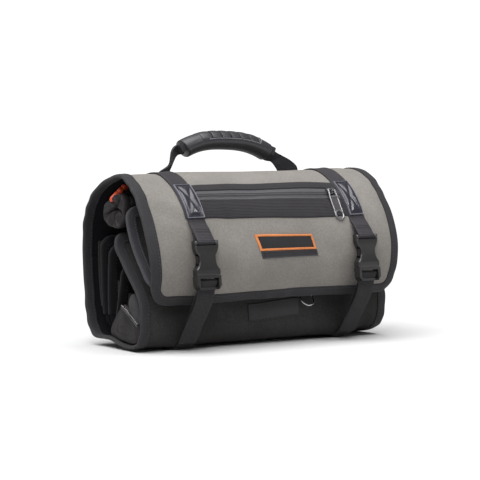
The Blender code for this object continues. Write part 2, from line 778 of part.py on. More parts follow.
def make_pull():
    """Flat nickel pull with an eye for the slider's fin and a finger hole."""
    pivot = pull_pivot()
    middle = zip_start() + ZIP_TAPE_WIDTH / 2
    rest = WRAP.place(middle + PULL_LENGTH, PULL_REST_HEIGHT)
    along = Vector((rest.x - pivot.y, rest.y - pivot.z)).normalized()
    turn = math.atan2(along.x, -along.y)
    half = PULL_WIDTH / 2
    bar = PULL_THICKNESS / 2
    end = PULL_LENGTH - half
    outline = [(half, bar), (-half, bar)]
    for k in range(PULL_SIDES + 1):
        a = math.pi + k * math.pi / PULL_SIDES
        outline.append((half * math.cos(a), -end + half * math.sin(a)))
    pull = add_object("zip_pull", prism(outline, "y", -bar, bar), "nickel", "zip_pull", pivot, turn)
    deep = PULL_THICKNESS
    eye = box_outline(-PULL_EYE_WIDTH / 2, PULL_EYE_WIDTH / 2, -bar - PULL_EYE_LENGTH, -bar)
    modify(pull, "DIFFERENCE", guide("pull_eye", prism(eye, "y", -deep, deep), "zip_pull", pivot, turn))
    hole = [(x, z - end) for x, z in circle(PULL_HOLE_RADIUS, PULL_SIDES * 2)]
    modify(pull, "DIFFERENCE", guide("pull_hole", prism(hole, "y", -deep, deep), "zip_pull", pivot, turn))


def slanted(mesh):
    """Flap label or strip with its ends leaning to the right on the way down."""
    top = STACK + LABEL_TOP_HEIGHT_SHARE * CLOTH_RISE
    for vertex in mesh.vertices:
        vertex.co.x += (top - vertex.co.z) * LABEL_SLANT
    return mesh


def make_labels():
    """Bare bordered label on the flap, the strip under it, and the bare patch on the front."""
    half = LABEL_LENGTH / 2
    top = GAP + LABEL_THICKNESS
    start = height_mark(LABEL_TOP_HEIGHT_SHARE, RIDGE, WRAP.length)
    end = start + LABEL_HEIGHT
    mesh = slanted(ribbon(WRAP, start, end, -half, half, GAP, top))
    frame = add_fixed("label_border", mesh, "label_orange", "cover")
    inner = half - LABEL_BORDER
    low, high = start + LABEL_BORDER, end - LABEL_BORDER
    mesh = slanted(ribbon(WRAP, low, high, -inner, inner, 0.0, top + GAP))
    modify(frame, "DIFFERENCE", add_fixed("label_window", mesh, "zip", "cover"))
    inner -= GAP
    mesh = slanted(ribbon(WRAP, low + GAP, high - GAP, -inner, inner, GAP, top - GAP))
    add_fixed("label_field", mesh, "label_dark", "cover")
    low = end + GAP
    mesh = slanted(ribbon(WRAP, low, low + LABEL_STRIP_HEIGHT, -half, LABEL_STRIP_LENGTH - half, GAP, top - GAP))
    add_fixed("label_strip", mesh, "label_dark", "cover")
    bottom = height_mark(NAME_PATCH_BOTTOM_SHARE, 0.0, FRONT_FOLD)
    left = NAME_PATCH_OFFSET - NAME_PATCH_LENGTH / 2
    mesh = ribbon(WRAP, bottom - NAME_PATCH_HEIGHT, bottom, left, left + NAME_PATCH_LENGTH,
                  GAP, GAP + PATCH_THICKNESS)
    add_fixed("front_patch", mesh, "webbing", "front")


def touch(point, centre, radius, sign):
    """Angle on a circle where a line from a point grazes it."""
    away = point - centre
    return math.atan2(away.y, away.x) + sign * math.acos(radius / away.length)


def arc(centre, radius, start, end):
    """Points on a circle from one angle to another."""
    count = max(2, math.ceil(abs(end - start) / LOOP_STEP))
    points = []
    for k in range(count + 1):
        a = start + (end - start) * k / count
        points.append(centre + Vector((math.cos(a), math.sin(a))) * radius)
    return points


def buckle_place():
    """Middle of the buckle's mouth in the end view, and the buckle's lean."""
    lean = math.radians(BUCKLE_TILT_DEG)
    y = -ROLL_DEPTH / 2 + BUCKLE_THICKNESS / 2 * math.cos(lean) + MALE_LENGTH * math.sin(lean)
    return Vector((y, STACK + BUCKLE_MOUTH_HEIGHT_SHARE * CLOTH_RISE)), lean


def in_buckle(back, up):
    """End-view point at a place in the buckle's own frame."""
    mouth, lean = buckle_place()
    along_back = Vector((math.cos(lean), -math.sin(lean)))
    along_up = Vector((math.sin(lean), math.cos(lean)))
    return mouth + along_back * back + along_up * up


def wrapped(run_points, x, name, body):
    """Webbing along the middle line of a route seen from the end."""
    run = Run(run_points)
    half = WEBBING_WIDTH / 2
    mesh = ribbon(run, 0.0, run.length, x - half, x + half, -WEBBING / 2, WEBBING / 2)
    add_fixed(name, mesh, "webbing", body)


def upper_strap_route():
    """Middle line from the top fold, over the flap and round the buckle's bar."""
    middle = GAP + WEBBING / 2
    leave = patch_start() + PATCH_LENGTH
    route = [WRAP.place(a, middle) for a in WRAP.stations(TOP_FOLD + GAP / 2, leave)]
    bar = in_buckle(0.0, BUCKLE_BODY_LENGTH + BAR_LIFT)
    radius = BAR_RADIUS + GAP + WEBBING / 2
    first = touch(route[-1], bar, radius, 1.0)
    graze = bar + Vector((math.cos(first), math.sin(first))) * radius
    up = (route[-1] - graze).normalized()
    inward = Vector((-up.y, up.x)) * -1
    tuck = graze + up * LOOP_RETURN + inward * (WEBBING + 2 * GAP)
    last = touch(tuck, bar, radius, -1.0)
    while last < first:
        last += 2 * math.pi
    return route + arc(bar, radius, first, last) + [tuck]


def lower_strap_route():
    """Middle line from the front fold, up behind the ladder bar, over it and down as the tail."""
    start = WRAP.place(FRONT_FOLD - GAP / 2, GAP + WEBBING / 2)
    ladder = in_buckle(0.0, -LADDER_DROP)
    radius = BAR_RADIUS + GAP + WEBBING / 2
    hang = [share_point(s) for s in STRAP_HANG_SHARES]
    first = touch(hang[-1], ladder, radius, 1.0)
    graze = ladder + Vector((math.cos(first), math.sin(first))) * radius
    past_lip = in_buckle(-radius, -MALE_LENGTH - WEBBING / 2)
    last = touch(past_lip, ladder, radius, -1.0)
    while last < first:
        last += 2 * math.pi
    below = in_buckle(-radius, -MALE_LENGTH - LADDER_DROP)
    tail = [past_lip, below] + [share_point(s) for s in TAIL_HANG_SHARES]
    main = rounded([start] + hang + [graze])
    return main[:-1] + arc(ladder, radius, first, last) + rounded(tail)


def make_straps():
    """Two webbing straps right round the roll, parted at the folds, with their vinyl patches."""
    slack = GAP / 2
    middle = GAP + WEBBING / 2
    for side, word in ((-1.0, "left"), (1.0, "right")):
        x = side * STRAP_X
        route = [WRAP.place(a, middle) for a in WRAP.stations(FRONT_FOLD + slack, BACK_FOLD - slack)]
        wrapped(route, x, "base_strap_" + word, "base")
        route = [WRAP.place(a, middle) for a in WRAP.stations(BACK_FOLD + slack, TOP_FOLD - slack)]
        wrapped(route, x, "back_strap_" + word, "back")
        wrapped(upper_strap_route(), x, "upper_strap_" + word, "cover")
        wrapped(lower_strap_route(), x, "lower_strap_" + word, "front")
        edge = x + WEBBING_WIDTH / 2
        low = STACK + GAP
        start = patch_start()
        mesh = ribbon(WRAP, start, start + PATCH_LENGTH - GAP, edge - PATCH_WIDTH, edge,
                      low, low + PATCH_THICKNESS)
        add_fixed("strap_patch_" + word, mesh, "vinyl", "cover")


def soft_box(width, depth, level, chamfer):
    """Rectangle with cut corners, in the buckle's frame at one height."""
    w, d = width / 2, depth / 2
    return [Vector((x, y, level)) for x, y in (
        (w, chamfer - d), (w, d - chamfer), (w - chamfer, d), (chamfer - w, d),
        (-w, d - chamfer), (-w, chamfer - d), (chamfer - w, -d), (w - chamfer, -d))]


def block(left, right, front, back, low, high):
    return prism(box_outline(left, right, front, back), "z", low, high)


def bar_mesh(width, level, radius):
    """Round bar across a buckle."""
    return prism([(y, level + z) for y, z in circle(radius, BAR_SIDES)], "x", -width / 2, width / 2)


def make_female(name, place, turn):
    """Buckle's socket: waisted body with a bar on two ears for the upper strap."""
    length = BUCKLE_BODY_LENGTH
    rings = []
    for level_share, width_share, depth_share in SOCKET_SHARES:
        rings.append(soft_box(BUCKLE_WIDTH * width_share, BUCKLE_THICKNESS * depth_share,
                              length * level_share, BUCKLE_CHAMFER))
    female = add_object(name, loft(rings), "buckle_plastic", "cover", place, turn)
    edge = BUCKLE_WIDTH / 2
    bar_level = length + BAR_LIFT
    ear_depth = BAR_RADIUS * 2
    low = length - EAR_WIDTH
    high = bar_level + BAR_RADIUS + GAP
    for side in (-1.0, 1.0):
        near, far = sorted((side * edge, side * (edge - EAR_WIDTH)))
        mesh = block(near, far, -ear_depth, ear_depth, low, high)
        modify(female, "UNION", guide(name + "_ear", mesh, "cover", place, turn))
    mesh = bar_mesh(BUCKLE_WIDTH - EAR_WIDTH, bar_level, BAR_RADIUS)
    modify(female, "UNION", guide(name + "_bar", mesh, "cover", place, turn))
    half = SOCKET_WIDTH / 2
    deep = SOCKET_THICKNESS / 2
    mesh = block(-half, half, -deep, deep, -CUT_OVERRUN, SOCKET_DEPTH)
    modify(female, "DIFFERENCE", guide(name + "_socket", mesh, "cover", place, turn))


def make_male(name, place, turn):
    """Buckle's plug: ladder frame for the lower strap, with a tongue that enters the socket."""
    half = BUCKLE_WIDTH / 2
    depth = BUCKLE_THICKNESS / 2
    rail = half - MALE_RAIL
    outline = [(-half, -GAP), (half, -GAP), (half, MALE_CORNER - MALE_LENGTH), (rail, -MALE_LENGTH),
               (-rail, -MALE_LENGTH), (-half, MALE_CORNER - MALE_LENGTH)]
    male = add_object(name, prism(outline, "y", -depth, depth), "buckle_plastic", "front", place, turn)
    low = MALE_LIP_HEIGHT - MALE_LENGTH
    mesh = block(-rail, rail, -depth - CUT_OVERRUN, depth + CUT_OVERRUN, low, -MALE_SHOULDER)
    modify(male, "DIFFERENCE", guide(name + "_window", mesh, "front", place, turn))
    thin = MALE_LIP_THICKNESS / 2
    for front, back in ((-depth - CUT_OVERRUN, -thin), (thin, depth + CUT_OVERRUN)):
        mesh = block(-rail, rail, front, back, -MALE_LENGTH - CUT_OVERRUN, low + CUT_OVERRUN)
        modify(male, "DIFFERENCE", guide(name + "_lip", mesh, "front", place, turn))
    mesh = bar_mesh(2 * rail + MALE_RAIL, -LADDER_DROP, BAR_RADIUS)
    modify(male, "UNION", guide(name + "_ladder", mesh, "front", place, turn))
    wide = TONGUE_WIDTH / 2
    thick = PRONG_THICKNESS / 2
    mesh = block(-wide, wide, -thick, thick, -MALE_SHOULDER + GAP, TONGUE_LENGTH)
    modify(male, "UNION", guide(name + "_tongue", mesh, "front", place, turn))


def arm_root(x):
    """World place of an arm's root in the buckle at x, for the arm on one side."""
    point = in_buckle(0.0, 0.0)
    return Vector((x, point.x, point.y))


def make_arm(name, body, x, side, turn):
    """Springy side arm of the plug, whose head shows in the socket's side window."""
    thick = PRONG_THICKNESS / 2
    head = SOCKET_WIDTH / 2 - ARM_HEAD_CLEARANCE - ARM_ROOT
    half = ARM_WIDTH / 2
    shoulder, crown = ARM_LENGTH * ARM_SHOULDER_SHARE, ARM_LENGTH * ARM_CROWN_SHARE
    outline = [(-half, GAP), (half, GAP), (half, shoulder), (head, shoulder + half),
               (head, crown), (half, ARM_LENGTH), (-half, ARM_LENGTH)]
    outline = [(side * across, level) for across, level in outline]
    root = arm_root(x + side * ARM_ROOT)
    add_object(name, prism(outline, "y", -thick, thick), "buckle_plastic", body, root, turn)


def make_buckles():
    """Both side-release buckles, latched."""
    lean = buckle_place()[1]
    for side, word in ((-1.0, "left"), (1.0, "right")):
        x = side * STRAP_X
        place = arm_root(x)
        make_female("buckle_socket_" + word, place, -lean)
        make_male("buckle_plug_" + word, place, -lean)
        for arm_side, arm_word in ((-1.0, "a"), (1.0, "b")):
            name = "buckle_arm_%s_%s" % (word, arm_word)
            make_arm(name, name, x, arm_side, -lean)


def handle_mark():
    """Distance along the wrap under the handle's anchors."""
    return find_depth(HANDLE_DEPTH_SHARE * BACK_DEPTH, TOP_FOLD, WRAP.length)


def handle_axis():
    """Line through both tips of the handle's webbing, about which it swings."""
    rise = GAP + FOOT_THICKNESS + FOOT_CLEARANCE + HANDLE_TIP_WIDTH / 2
    point = WRAP.place(handle_mark(), rise)
    return Vector((0.0, point.x, point.y))


def grip_level(x):
    """Height of the grip's middle line."""
    crown = BODY_HEIGHT + HAND_ROOM + GRIP_THICKNESS / 2
    return crown - GRIP_SAG * abs(x / (GRIP_LENGTH / 2)) ** GRIP_DROP_POWER


def grip_slope(x):
    """Rise of the grip's middle line along its length."""
    half = GRIP_LENGTH / 2
    return -math.copysign(GRIP_DROP_POWER * GRIP_SAG / half * abs(x / half) ** (GRIP_DROP_POWER - 1), x)


def grip_stations():
    """Places along the grip: its ends, and each rib with the grooves beside it."""
    half = GRIP_LENGTH / 2
    ribbed = half * GRIP_RIBBED_SHARE
    pitch = 2 * ribbed / GRIP_RIBS
    marks = [(-half, 0.0), (-half * GRIP_SHOULDER_SHARE, 0.0)]
    for k in range(GRIP_RIBS + 1):
        x = -ribbed + k * pitch
        marks += [(x - pitch * GROOVE_SHARE, 0.0), (x, GRIP_RIB_DEPTH), (x + pitch * GROOVE_SHARE, 0.0)]
    return marks + [(half * GRIP_SHOULDER_SHARE, 0.0), (half, 0.0)]


def handle_side():
    """One end of the handle's middle line, from its rounded tip to the grip, with half widths."""
    axis = handle_axis()
    end_x = GRIP_LENGTH / 2
    end = Vector((end_x, grip_level(end_x)))
    slope = Vector((1.0, grip_slope(end_x))).normalized()
    tip = Vector((HANDLE_HALF_SPAN, axis.z))
    knee = Vector((HANDLE_HALF_SPAN - FOOT_LENGTH / 4, axis.z + (end.y - axis.z) * HANDLE_KNEE_SHARE))
    bend = end + slope * (HANDLE_HALF_SPAN - end_x) / 2
    line = rounded([tip, knee, bend, end])
    down = (line[0] - line[1]).normalized()
    radius = HANDLE_TIP_WIDTH / 2
    full = WEBBING_WIDTH / 2
    side = [(line[0] + down * radius * reach, radius * across) for reach, across in TIP_SHARES]
    distance = 0.0
    for before, point in zip([line[0]] + line, line):
        distance += (point - before).length
        side.append((point, min(full, radius + (full - radius) * distance / HANDLE_TAPER)))
    return side


def make_handle():
    """Webbing handle through a ribbed rubber grip, and the two feet that carry it."""
    axis = handle_axis()
    full = WEBBING_WIDTH / 2
    right = handle_side()
    left = [(Vector((-p.x, p.y)), wide) for p, wide in right]
    inner = [(Vector((x, grip_level(x))), full) for x, groove in grip_stations()[1:-1]]
    middle = left + inner + right[::-1]
    last = len(middle) - 1
    rings = []
    for i, (point, wide) in enumerate(middle):
        run = (middle[min(i + 1, last)][0] - middle[max(i - 1, 0)][0]).normalized()
        normal = Vector((-run.y, run.x)) * (HANDLE_WEBBING / 2)
        corners = ((-wide, -1), (wide, -1), (wide, 1), (-wide, 1))
        rings.append([Vector((point.x + normal.x * s, axis.y + y, point.y + normal.y * s)) for y, s in corners])
    add_fixed("handle_webbing", loft(rings), "webbing", "handle")
    make_grip(axis)
    mark = handle_mark()
    for side, word in ((-1.0, "left"), (1.0, "right")):
        near = side * (HANDLE_HALF_SPAN - HANDLE_TIP_WIDTH / 2)
        left_x, right_x = sorted((near, near + side * FOOT_LENGTH))
        mesh = ribbon(WRAP, mark - full, mark + full, left_x, right_x, GAP, GAP + FOOT_THICKNESS)
        add_fixed("handle_foot_" + word, mesh, "webbing", "cover")


def make_grip(axis):
    """Moulded grip with ribs over its top and a slot right through for the webbing."""
    half = GRIP_LENGTH / 2
    slot_half = WEBBING_WIDTH / 2 + GRIP_SLOT_CLEARANCE
    slot_rise = HANDLE_WEBBING / 2 + GRIP_SLOT_CLEARANCE
    outer, inner = [], []
    for x, groove in grip_stations():
        slope = math.atan(grip_slope(x))
        normal = Vector((-math.sin(slope), math.cos(slope)))
        taper = 1.0 - (1.0 - GRIP_END_SHARE) * (x / half) ** 2
        ring, slot = [], []
        for c, s in circle(1.0, GRIP_SIDES):
            top = GRIP_THICKNESS / 2 * taper - (groove if s > 0 else 0.0)
            y, rise = GRIP_WIDTH / 2 * taper * c, top * s
            ring.append(Vector((x + normal.x * rise, axis.y + y, grip_level(x) + normal.y * rise)))
            scale = 1 / max(abs(c), abs(s))
            y, rise = slot_half * c * scale, slot_rise * s * scale
            slot.append(Vector((x + normal.x * rise, axis.y + y, grip_level(x) + normal.y * rise)))
        outer.append(ring)
        inner.append(slot)
    work = bmesh.new()
    skins = [[[work.verts.new(p) for p in ring] for ring in rings] for rings in (outer, inner)]
    for skin in skins:
        for a, b in zip(skin, skin[1:]):
            for i in range(GRIP_SIDES):
                j = (i + 1) % GRIP_SIDES
                work.faces.new((a[i], a[j], b[j], b[i]))
    for end in (0, -1):
        for i in range(GRIP_SIDES):
            j = (i + 1) % GRIP_SIDES
            work.faces.new((skins[0][end][i], skins[0][end][j], skins[1][end][j], skins[1][end][i]))
    bmesh.ops.recalc_face_normals(work, faces=work.faces)
    mesh = bpy.data.meshes.new("grip")
    work.to_mesh(mesh)
    work.free()
    add_fixed("handle_grip", mesh, "grip_rubber", "handle", smooth=True)


def ring_mark():
    return height_mark(RING_HEIGHT_SHARE, 0.0, FRONT_FOLD)


def ring_axis():
    """Middle of the tab's loop, in which the ring's wire swings."""
    point = WRAP.place(ring_mark(), GAP + RING_TAB_THICKNESS + RING_PLAY + RING_WIRE)
    return Vector((RING_OFFSET, point.x, point.y))


def make_ring():
    """Tool ring on a folded tab that is sewn to the front panel."""
    axis = ring_axis()
    centre = Vector((axis.y, axis.z))
    half = RING_TAB_THICKNESS / 2
    radius = RING_WIRE + RING_PLAY + half
    mark = ring_mark()
    under = WRAP.place(mark - RING_TAB_LENGTH, GAP + half)
    over = WRAP.place(mark - RING_TAB_LENGTH, 2 * GAP + 3 * half)
    first = touch(under, centre, radius, -1.0)
    last = touch(over, centre, radius, 1.0)
    while last > first:
        last -= 2 * math.pi
    loop = Run([under] + arc(centre, radius, first, last) + [over])
    mesh = ribbon(loop, 0.0, loop.length, axis.x - RING_TAB_WIDTH / 2, axis.x + RING_TAB_WIDTH / 2, -half, half)
    add_fixed("ring_tab", mesh, "webbing", "front")
    rings = []
    for a, b in circle(1.0, RING_STEPS):
        ring = []
        for c, d in circle(RING_WIRE, RING_SIDES):
            reach = RING_RADIUS + c
            ring.append(Vector((reach * a, d, reach * b - RING_RADIUS)))
        rings.append(ring)
    turn = -math.radians(RING_TILT_DEG)
    add_object("tool_ring", loft(rings, True), "nickel", "tool_ring", axis, turn, smooth=True)


def cord_pull_axis():
    """Seam under the cover from which the orange pull hangs."""
    mark = height_mark(CORD_PULL_HEIGHT_SHARE, TOP_FOLD, RIDGE)
    point = WRAP.place(mark, -CLOTH - CORD_TAB_THICKNESS)
    return Vector((CORD_PULL_X - HALF_LENGTH, point.x, point.y))


def make_cord_pull():
    """Orange barrel pull on its tab, hanging out of the left end."""
    tab = CORD_TAB_THICKNESS / 2
    rings = []
    for level_share, radius_share in CORD_PULL_SHARES:
        radius = CORD_PULL_RADIUS * radius_share
        rings.append([Vector((max(radius, tab) * c, radius * s, -CORD_PULL_LENGTH * level_share))
                      for c, s in circle(1.0, CORD_PULL_SIDES)])
    mesh = loft(rings)
    pull = add_object("orange_pull", mesh, "orange_cord", "orange_pull", cord_pull_axis(), 0.0, smooth=True)
    pull.rotation_euler = (0.0, math.radians(CORD_PULL_TILT_DEG), 0.0)


def make_joints():
    """Empties on every joint's axis, from the carrying bodies outwards."""
    add_body("back", fold_axis(BACK_FOLD), "base")
    add_body("cover", fold_axis(TOP_FOLD), "back")
    add_body("front", fold_axis(FRONT_FOLD), "base")
    add_body("inner_flap", inner_flap_axis(), "cover")
    for index in range(len(PAGE_LEAN_SHARES)):
        add_body("page_%d" % (index + 1), page_axis(index), "base")
    add_body("base_pouch_slider", pouch_slider_frame()[0], "base")
    add_body("zip_slider", slider_frame()[0], "cover")
    add_body("zip_pull", pull_pivot(), "zip_slider")
    add_body("handle", handle_axis(), "cover")
    add_body("tool_ring", ring_axis(), "front")
    add_body("orange_pull", cord_pull_axis(), "cover")
    for side, word in ((-1.0, "left"), (1.0, "right")):
        for arm_side, arm_word in ((-1.0, "a"), (1.0, "b")):
            place = arm_root(side * STRAP_X + arm_side * ARM_ROOT)
            add_body("buckle_arm_%s_%s" % (word, arm_word), place, "front")


def main():
    for item in list(bpy.data.objects):
        bpy.data.objects.remove(item)
    make_joints()
    make_wrap()
    make_inner_flap()
    make_pages()
    make_pouches()
    make_zip_pocket()
    make_slider("zip_slider", *slider_frame())
    make_slider("base_pouch_slider", *pouch_slider_frame())
    make_pull()
    make_labels()
    make_straps()
    make_buckles()
    make_handle()
    make_ring()
    make_cord_pull()


main()
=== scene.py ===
"""Looks of the tool roll: cloth, webbing, zips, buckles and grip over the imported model.

Metres, +Z up, +X along the roll, -Y the buckled front.
"""
import math
import random

import bmesh
import bpy
import numpy as np
from mathutils import Matrix, Vector


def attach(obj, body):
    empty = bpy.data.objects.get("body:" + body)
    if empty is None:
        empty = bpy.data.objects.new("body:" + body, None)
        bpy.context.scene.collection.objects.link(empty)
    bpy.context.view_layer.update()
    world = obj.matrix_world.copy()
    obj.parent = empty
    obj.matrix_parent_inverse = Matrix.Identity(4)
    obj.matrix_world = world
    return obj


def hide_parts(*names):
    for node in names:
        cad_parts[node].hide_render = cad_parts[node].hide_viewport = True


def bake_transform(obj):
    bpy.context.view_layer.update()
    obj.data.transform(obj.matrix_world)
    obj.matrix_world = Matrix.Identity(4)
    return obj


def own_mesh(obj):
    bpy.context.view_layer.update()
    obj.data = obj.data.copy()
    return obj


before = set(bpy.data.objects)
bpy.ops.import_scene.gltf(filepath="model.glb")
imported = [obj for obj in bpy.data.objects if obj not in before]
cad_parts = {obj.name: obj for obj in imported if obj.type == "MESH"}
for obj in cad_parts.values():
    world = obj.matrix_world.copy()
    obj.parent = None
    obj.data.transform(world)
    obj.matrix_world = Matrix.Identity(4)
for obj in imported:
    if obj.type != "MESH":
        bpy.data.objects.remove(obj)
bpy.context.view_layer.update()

# The roll's outline, seen from the end, as the solids have it
STACK = 0.0021
GAP = 0.0003
CLOTH = 0.0024
BACK_DEPTH = 0.107 - STACK
CLOTH_RISE = 0.225 - STACK
HALF = 0.190
STRAP_X = 0.1235
STRAP_HALF = 0.0125
WEBBING = 0.0018
TAPE_WIDTH = 0.0125
# How far cloth ends inside the edge that its tape goes round
TUCK = 0.0012
STEPS = 16
SIDES = {"left": -1.0, "right": 1.0}
X_WAY, Y_WAY = np.array([1.0, 0, 0]), np.array([0, 1.0, 0])
TURN = 2 * math.pi


def shares(*pairs):
    """Places given as shares of the body's depth and height."""
    return [np.array([y * BACK_DEPTH, STACK + z * CLOTH_RISE]) for y, z in pairs]


def unit(v):
    return v / np.linalg.norm(v, axis=-1)[..., None]


def angles(count, start=0.0):
    return np.linspace(start, start + TURN, count, endpoint=False)


def stacked(*values):
    """Points from their coordinates, each a number or an array."""
    return np.stack(np.broadcast_arrays(*values), -1)


def travelled(points):
    """Distance gone at each point of a path."""
    return np.concatenate([[0], np.cumsum(np.linalg.norm(np.diff(points, axis=0), axis=1))])


def heading(path):
    """Way ahead at each point of a path."""
    return unit(np.gradient(path, axis=0))


def walk(points, gone, marks):
    """Points of a path at marks along it, from the distance gone at each of its own."""
    return np.stack([np.interp(marks, gone, column) for column in points.T], 1)


def resample(points, step=0.003):
    gone = travelled(points)
    return walk(points, gone, np.linspace(0, gone[-1], max(3, int(gone[-1] / step))))


def arched(start, corner, end, t):
    return start * (1 - t) ** 2 + corner * 2 * t * (1 - t) + end * t ** 2


def rounded(corners, steps=STEPS):
    """Curve that rounds off a polygon of corners and keeps its two ends."""
    corners = [np.array(c, float) for c in corners]
    points = [corners[0]]
    last = len(corners) - 2
    for i in range(1, last + 1):
        start = corners[0] if i == 1 else (corners[i - 1] + corners[i]) / 2
        end = corners[-1] if i == last else (corners[i] + corners[i + 1]) / 2
        points += [arched(start, corners[i], end, k / steps) for k in range(1, steps + 1)]
    return np.array(points)


def closed_curve(corners):
    """Rounded closed curve round a polygon."""
    corners = [np.array(c, float) for c in corners]
    points = []
    for i, corner in enumerate(corners):
        start, end = (corners[i - 1] + corner) / 2, (corner + corners[(i + 1) % len(corners)]) / 2
        points += [arched(start, corner, end, t) for t in np.linspace(0, 1, 12, endpoint=False)]
    return resample(np.array(points + points[:1]), 0.002)[:-1]


def still(x, s):
    return 0.0 * (x + s)


class Profile:
    """Cloth seen from the end: its points, the distance along it, and which way is outwards.

    swell lifts the cloth off its points, shift moves it along the roll and drift moves its marks along it.
    """

    def __init__(self, points, swell=still):
        tangent = heading(points)
        reach = 0.03
        points = np.vstack([points[0] - tangent[0] * reach, points, points[-1] + tangent[-1] * reach])
        tangent = np.vstack([tangent[0], tangent, tangent[-1]])
        self.s = travelled(points) - reach
        self.length = self.s[-1] - reach
        self.points = points
        self.normals = np.stack([tangent[:, 1], -tangent[:, 0]], 1)
        self.swell, self.shift, self.drift = swell, still, still

    def at(self, s):
        y, z, ny, nz = (np.interp(s, self.s, column) for column in (*self.points.T, *self.normals.T))
        size = np.hypot(ny, nz)
        return y, z, ny / size, nz / size

    def off(self, s, out):
        """Depth and height of a place off the plain outline."""
        y, z, ny, nz = self.at(s)
        return np.array([y + ny * out, z + nz * out])

    def find(self, column, value, start, end):
        """Distance between two others at which a coordinate first takes a value."""
        s = np.linspace(start, end, 3000)
        v = self.at(s)[column] - value
        return float(s[np.nonzero(v[:-1] * v[1:] <= 0)[0][0]])

    def flipped(self):
        """The same cloth with its other face outwards."""
        other = Profile(self.points[1:-1], lambda x, s: -self.swell(x, s))
        other.normals = -other.normals
        return other


WRAP = Profile(rounded(shares(
    (0.152, 0.628), (0.114, 0.565), (-0.190, 0.430), (-0.458, 0.296), (-0.505, 0.143), (-0.440, 0.0),
    (-0.190, 0.0), (0.560, 0.0), (0.840, 0.071), (1.0, 0.350), (1.0, 0.660), (0.800, 0.870), (0.290, 1.0),
    (-0.100, 1.0), (-0.496, 0.879), (-0.724, 0.708), (-0.839, 0.529), (-0.763, 0.367), (-0.629, 0.251))))


def fold(corner):
    return (WRAP.s[1 + (corner - 1) * STEPS] + WRAP.s[1 + corner * STEPS]) / 2


FRONT_FOLD, BACK_FOLD, TOP_FOLD = fold(5), fold(8), fold(11)
RIDGE = WRAP.s[1 + 12 * STEPS]
HEM = WRAP.length
BASE_MID = (FRONT_FOLD + BACK_FOLD) / 2
BACK_MID = (BACK_FOLD + TOP_FOLD) / 2


def height_mark(share, start=RIDGE, end=HEM):
    return WRAP.find(1, STACK + share * CLOTH_RISE, start, end)


PATCH_TOP = height_mark(0.920)
PATCH_LENGTH = 0.055
UPPER_BAND = 0.0125
ZIP_WIDTH = 0.0155

dice = random.Random(7)
ROUND = 6.283
WAVES = []
for _ in range(9):
    angle = dice.uniform(0, math.pi)
    pitch = dice.uniform(0.045, 0.13)
    phase = dice.uniform(0, ROUND)
    WAVES.append((math.cos(angle) / pitch * ROUND, math.sin(angle) / pitch * ROUND, phase, pitch))


def waves(x, s):
    """Slow uneven swell of cloth, about one unit high."""
    return sum(np.sin(kx * x + ks * s + phase) * pitch for kx, ks, phase, pitch in WAVES) / 0.35


def bump(v, middle, width):
    return np.exp(-((v - middle) / width) ** 2)


def ramp(v, low, high):
    t = np.clip((v - low) / (high - low), 0, 1)
    return t * t * (3 - 2 * t)


def eased(table):
    """Smooth curve through a table of places and values."""
    places, values = np.array(table).T
    fine = np.linspace(places[0], places[-1], 241)
    blur = np.hanning(27)
    smooth = np.convolve(np.pad(np.interp(fine, places, values), 13, "edge"), blur / blur.sum(), "valid")
    return lambda v: np.interp(v, fine, smooth)


# Dip of the left end over the back's top, by distance from the fold
SHOULDER = eased([(-0.070, 0.0), (-0.040, -0.0006), (-0.016, -0.0020), (0.008, -0.0025), (0.032, -0.0037),
                  (0.044, -0.0046), (0.056, -0.0060), (0.068, -0.0055), (0.080, -0.0042), (0.104, -0.0015),
                  (0.140, 0.0)])
# How far the flap's right end is drawn in, by share of its fall
RIGHT_END = eased([(0.0, -0.0052), (0.10, -0.0035), (0.20, -0.0024), (0.25, -0.0037), (0.30, -0.0046),
                   (0.35, -0.0054), (0.45, -0.0048), (0.55, -0.0043), (0.70, -0.0047), (0.80, -0.0058),
                   (0.90, -0.0059), (1.0, -0.0050)])
# Soft creases of the flap: place along, distance from the ridge, turn, length, width, height
CREASES = [
    (-0.150, 0.105, 0.55, 0.020, 0.0060, -0.0013), (-0.148, 0.085, 0.50, 0.022, 0.0070, 0.0011),
    (-0.072, 0.118, 1.30, 0.030, 0.0100, -0.0012), (-0.030, 0.150, 1.70, 0.028, 0.0110, 0.0012),
    (0.085, 0.112, 1.10, 0.018, 0.0060, -0.0012), (0.010, 0.172, 1.35, 0.024, 0.0090, -0.0012),
    (0.160, 0.130, 1.55, 0.040, 0.0080, 0.0011),
    (-0.060, 0.024, 0.30, 0.030, 0.0060, -0.0008), (0.075, 0.165, 0.40, 0.025, 0.0070, 0.0009),
]
# Broad drapes of the flap: height, place along, width, share of its fall, length as such a share
DRAPES = [(0.0022, -0.030, 0.035, 0.82, 0.12), (-0.0022, 0.045, 0.030, 0.80, 0.12),
          (0.0018, 0.155, 0.020, 0.55, 0.20), (-0.0016, -0.075, 0.022, 0.62, 0.25)]


def creases(x, s):
    total = 0.0
    for x0, s0, turn, length, width, height in CREASES:
        u = (x - x0) * math.cos(turn) + (s - RIDGE - s0) * math.sin(turn)
        v = (s - RIDGE - s0) * math.cos(turn) - (x - x0) * math.sin(turn)
        total = total + height * bump(u, 0.0, length) * bump(v, 0.0, width)
    return total


